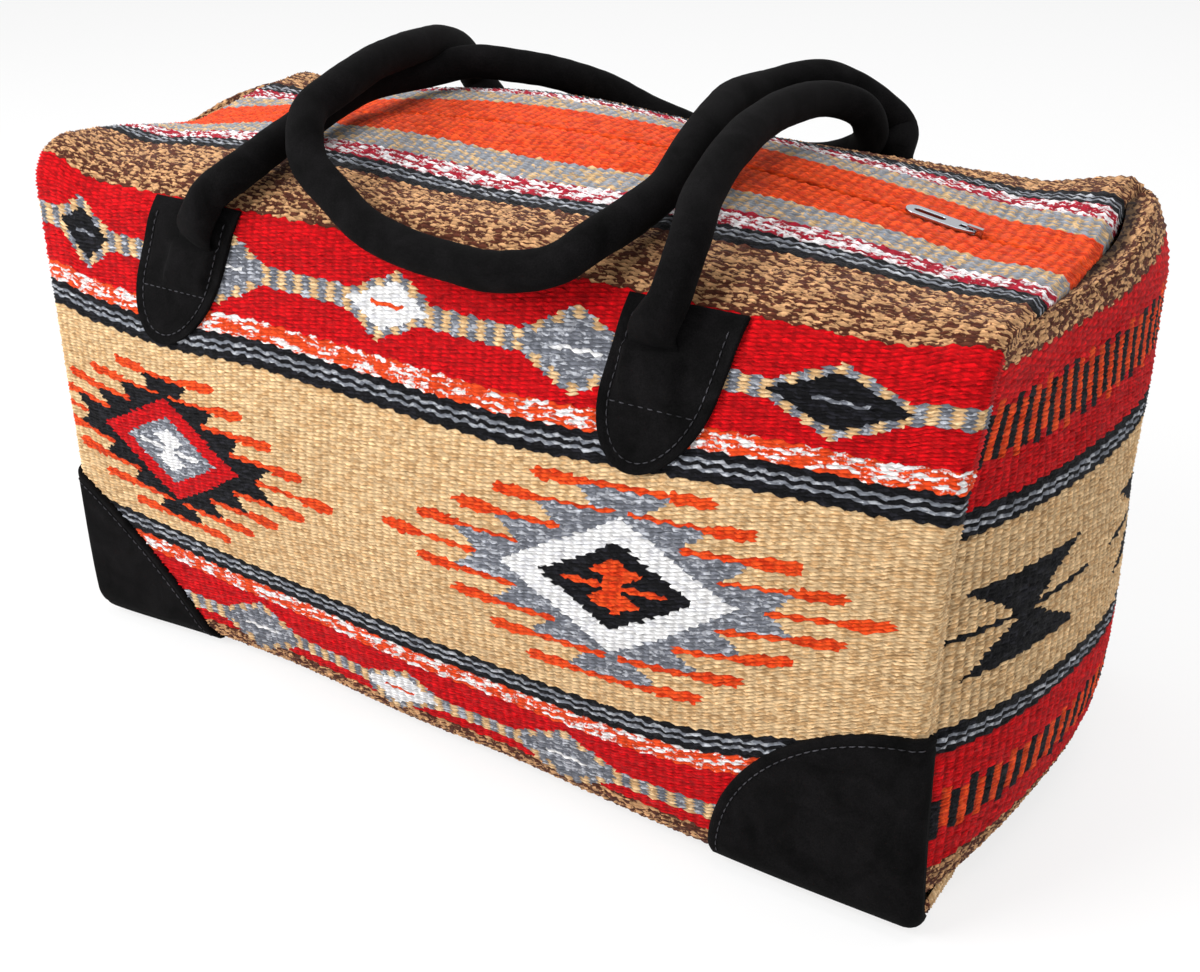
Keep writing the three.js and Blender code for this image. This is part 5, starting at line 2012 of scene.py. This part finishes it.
@dataclass(frozen=True)
class Studio:
    """White sweep, soft lamps and the camera."""

    camera_place: tuple[float, float, float] = (0.429, -0.6622, 0.4861)
    azimuth: float = 31.80
    elevation: float = 26.32
    lens: float = 48.0
    sensor: float = 36.0
    floor_size: float = 12.0
    floor_drop: float = 0.0012
    floor_glow: float = 0.75
    room_light: float = 0.45
    aim_height: float = 0.15
    lamps: tuple[tuple[str, tuple[float, float, float], float, float], ...] = (
        ("key", (-1.0, -1.25, 1.15), 1.1, 39.0),
        ("fill", (2.2, -0.9, 1.5), 1.8, 18.0),
        ("top", (0.0, 0.5, 2.6), 2.2, 36.0),
    )

    def build(self) -> None:
        """Makes the camera, the lamps, the world and the floor."""
        scene = bpy.context.scene
        scene.view_settings.view_transform = "Standard"
        self.camera(scene)
        for lamp in self.lamps:
            self.lamp(*lamp)
        self.world(scene)
        self.floor()

    def camera(self, scene: bpy.types.Scene) -> None:
        """Makes the camera from its place, azimuth and elevation."""
        az, el = math.radians(self.azimuth), math.radians(self.elevation)
        back = Vector((math.sin(az) * math.cos(el), -math.cos(az) * math.cos(el), math.sin(el)))
        right = Vector((math.cos(az), math.sin(az), 0))
        up = back.cross(right)
        data = bpy.data.cameras.new("camera")
        data.lens = self.lens
        data.sensor_width = self.sensor
        data.sensor_fit = "HORIZONTAL"
        data.clip_start = 0.01
        camera = bpy.data.objects.new("camera", data)
        turn = Matrix((right, up, back)).transposed().to_4x4()
        camera.matrix_world = Matrix.Translation(self.camera_place) @ turn
        bpy.context.collection.objects.link(camera)
        scene.camera = camera

    def lamp(self, name: str, place: tuple[float, float, float], size: float, power: float) -> None:
        """Makes a square area lamp that looks at the bag."""
        data = bpy.data.lights.new(name, "AREA")
        data.size = size
        data.energy = power
        lamp = bpy.data.objects.new(name, data)
        aim = Vector(place) - Vector((0, 0, self.aim_height))
        lamp.matrix_world = Matrix.Translation(place) @ aim.to_track_quat("Z", "Y").to_matrix().to_4x4()
        bpy.context.collection.objects.link(lamp)

    def world(self, scene: bpy.types.Scene) -> None:
        """Makes a world that is white to the eye and in reflections, and lights the bag more softly."""
        world = bpy.data.worlds.new("white_room")
        scene.world = world
        world.use_nodes = True
        nodes = NodeTree(world.node_tree)
        background = world.node_tree.nodes["Background"]
        background.inputs["Color"].default_value = (1, 1, 1, 1)
        more = nodes.math("MULTIPLY", nodes.seen(), 1 - self.room_light)
        strength = nodes.math("ADD", more, self.room_light)
        nodes.link(strength, background.inputs["Strength"])

    def floor(self) -> None:
        """Makes the pale floor, brightened to white for the camera while it keeps the shadow."""
        half = self.floor_size / 2
        corners = np.array([[-half, -half, 0], [half, -half, 0], [half, half, 0], [-half, half, 0]])
        material, nodes, shader = new_material("pale_floor", Base_Color=(0.9, 0.9, 0.9, 1), Roughness=1.0)
        glow = nodes.add("ShaderNodeEmission")
        mix = nodes.add("ShaderNodeMixShader")
        nodes.link(nodes.math("MULTIPLY", nodes.seen(), self.floor_glow), mix.inputs["Fac"])
        nodes.link(shader.outputs["BSDF"], mix.inputs[1])
        nodes.link(glow.outputs["Emission"], mix.inputs[2])
        nodes.link(mix.outputs["Shader"], material.node_tree.nodes["Material Output"].inputs["Surface"])
        corners = corners - np.array([0, 0, self.floor_drop])
        plane = make_piece("floor", corners, np.array([[0, 1, 2, 3]]), material)


def paint_nodes(nodes: dict[str, bpy.types.Object], names: list[str], material: bpy.types.Material) -> None:
    """Gives frame nodes that stay in view their finish.

    Args:
        nodes: frame nodes by name.
        names: nodes to paint.
        material: their finish.
    """
    for name in names:
        nodes[name].data.materials.clear()
        nodes[name].data.materials.append(material)


def main() -> None:
    """Builds the studio and the bag around its frame."""
    logging.basicConfig(level=logging.INFO)
    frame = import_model()
    Studio().build()
    form = BagForm()
    fibre = fibre_group()
    nap = nap_group()
    marl = marl_group()
    wool_wrap = WoolFinish("wool_wrap", (260.0, 1150.0, 1150.0), (170.0, 420.0, 420.0)).build(fibre, marl)
    wool_end = WoolFinish("wool_end", (1150.0, 260.0, 1150.0), (420.0, 170.0, 420.0)).build(fibre, marl)
    suede = SuedeFinish("black_suede").build(nap)
    thread = SuedeFinish("black_thread", (26, 26, 28), (84, 83, 88), 0.6, 0.0, 2600.0, 0.2).build(nap)
    rope = SuedeFinish("rope", (150, 136, 110), (214, 202, 176), 0.9, 0.1, 900.0, 0.5).build(nap)
    tape = SuedeFinish("zip_tape", (26, 26, 28), (54, 54, 57), 0.85, 0.05, 2200.0, 0.4).build(nap)
    teeth = SuedeFinish("zip_teeth", (18, 18, 20), (34, 34, 36), 0.45, 0.0, 3000.0, 0.05).build(nap)
    metal = MetalFinish().build()
    wrap = ClothWrap(form)
    for piece, flat in zip(wrap.build(wool_wrap), wrap.flat_sizes()):
        settle(piece, Body.BAG, Slot.WOOL, "main_panel")
    for end in End:
        panel = EndPanel(form, end)
        piece = settle(panel.build(wool_end), Body.BAG, Slot.WOOL, f"end_panel_{end.name.lower()}")
    for side in Side:
        handle = Handle(form, side, HandleTab(form, side, End.LEFT))
        settle(handle.build(suede), Body.BAG, Slot.SUEDE, f"handle_cover_{side.name.lower()}")
        settle(handle.core(rope), Body.BAG, Slot.ROPE, f"handle_core_{side.name.lower()}")
        for end in End:
            for sewn in (HandleTab(form, side, end), CornerPatch(form, side, end, *PATCH_CUTS[end])):
                leather, stitches = sewn.build(suede, thread)
                settle(leather, Body.BAG, Slot.SUEDE, sewn.name)
                settle(stitches, Body.BAG, Slot.SUEDE)
    settle(ZipPull(form).build(metal), Body.PULL, Slot.METAL, "zip_pull")
    nodes = frame["nodes"]
    both = [side.name.lower() for side in Side]
    paint_nodes(nodes, ["zip_slider", "zip_bottom_stop"] + [f"zip_top_stop_{place}" for place in both], metal)
    paint_nodes(nodes, [f"zip_tape_{place}" for place in both], tape)
    paint_nodes(nodes, [f"zip_teeth_{place}" for place in both], teeth)
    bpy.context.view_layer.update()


if __name__ == "__main__":
    main()
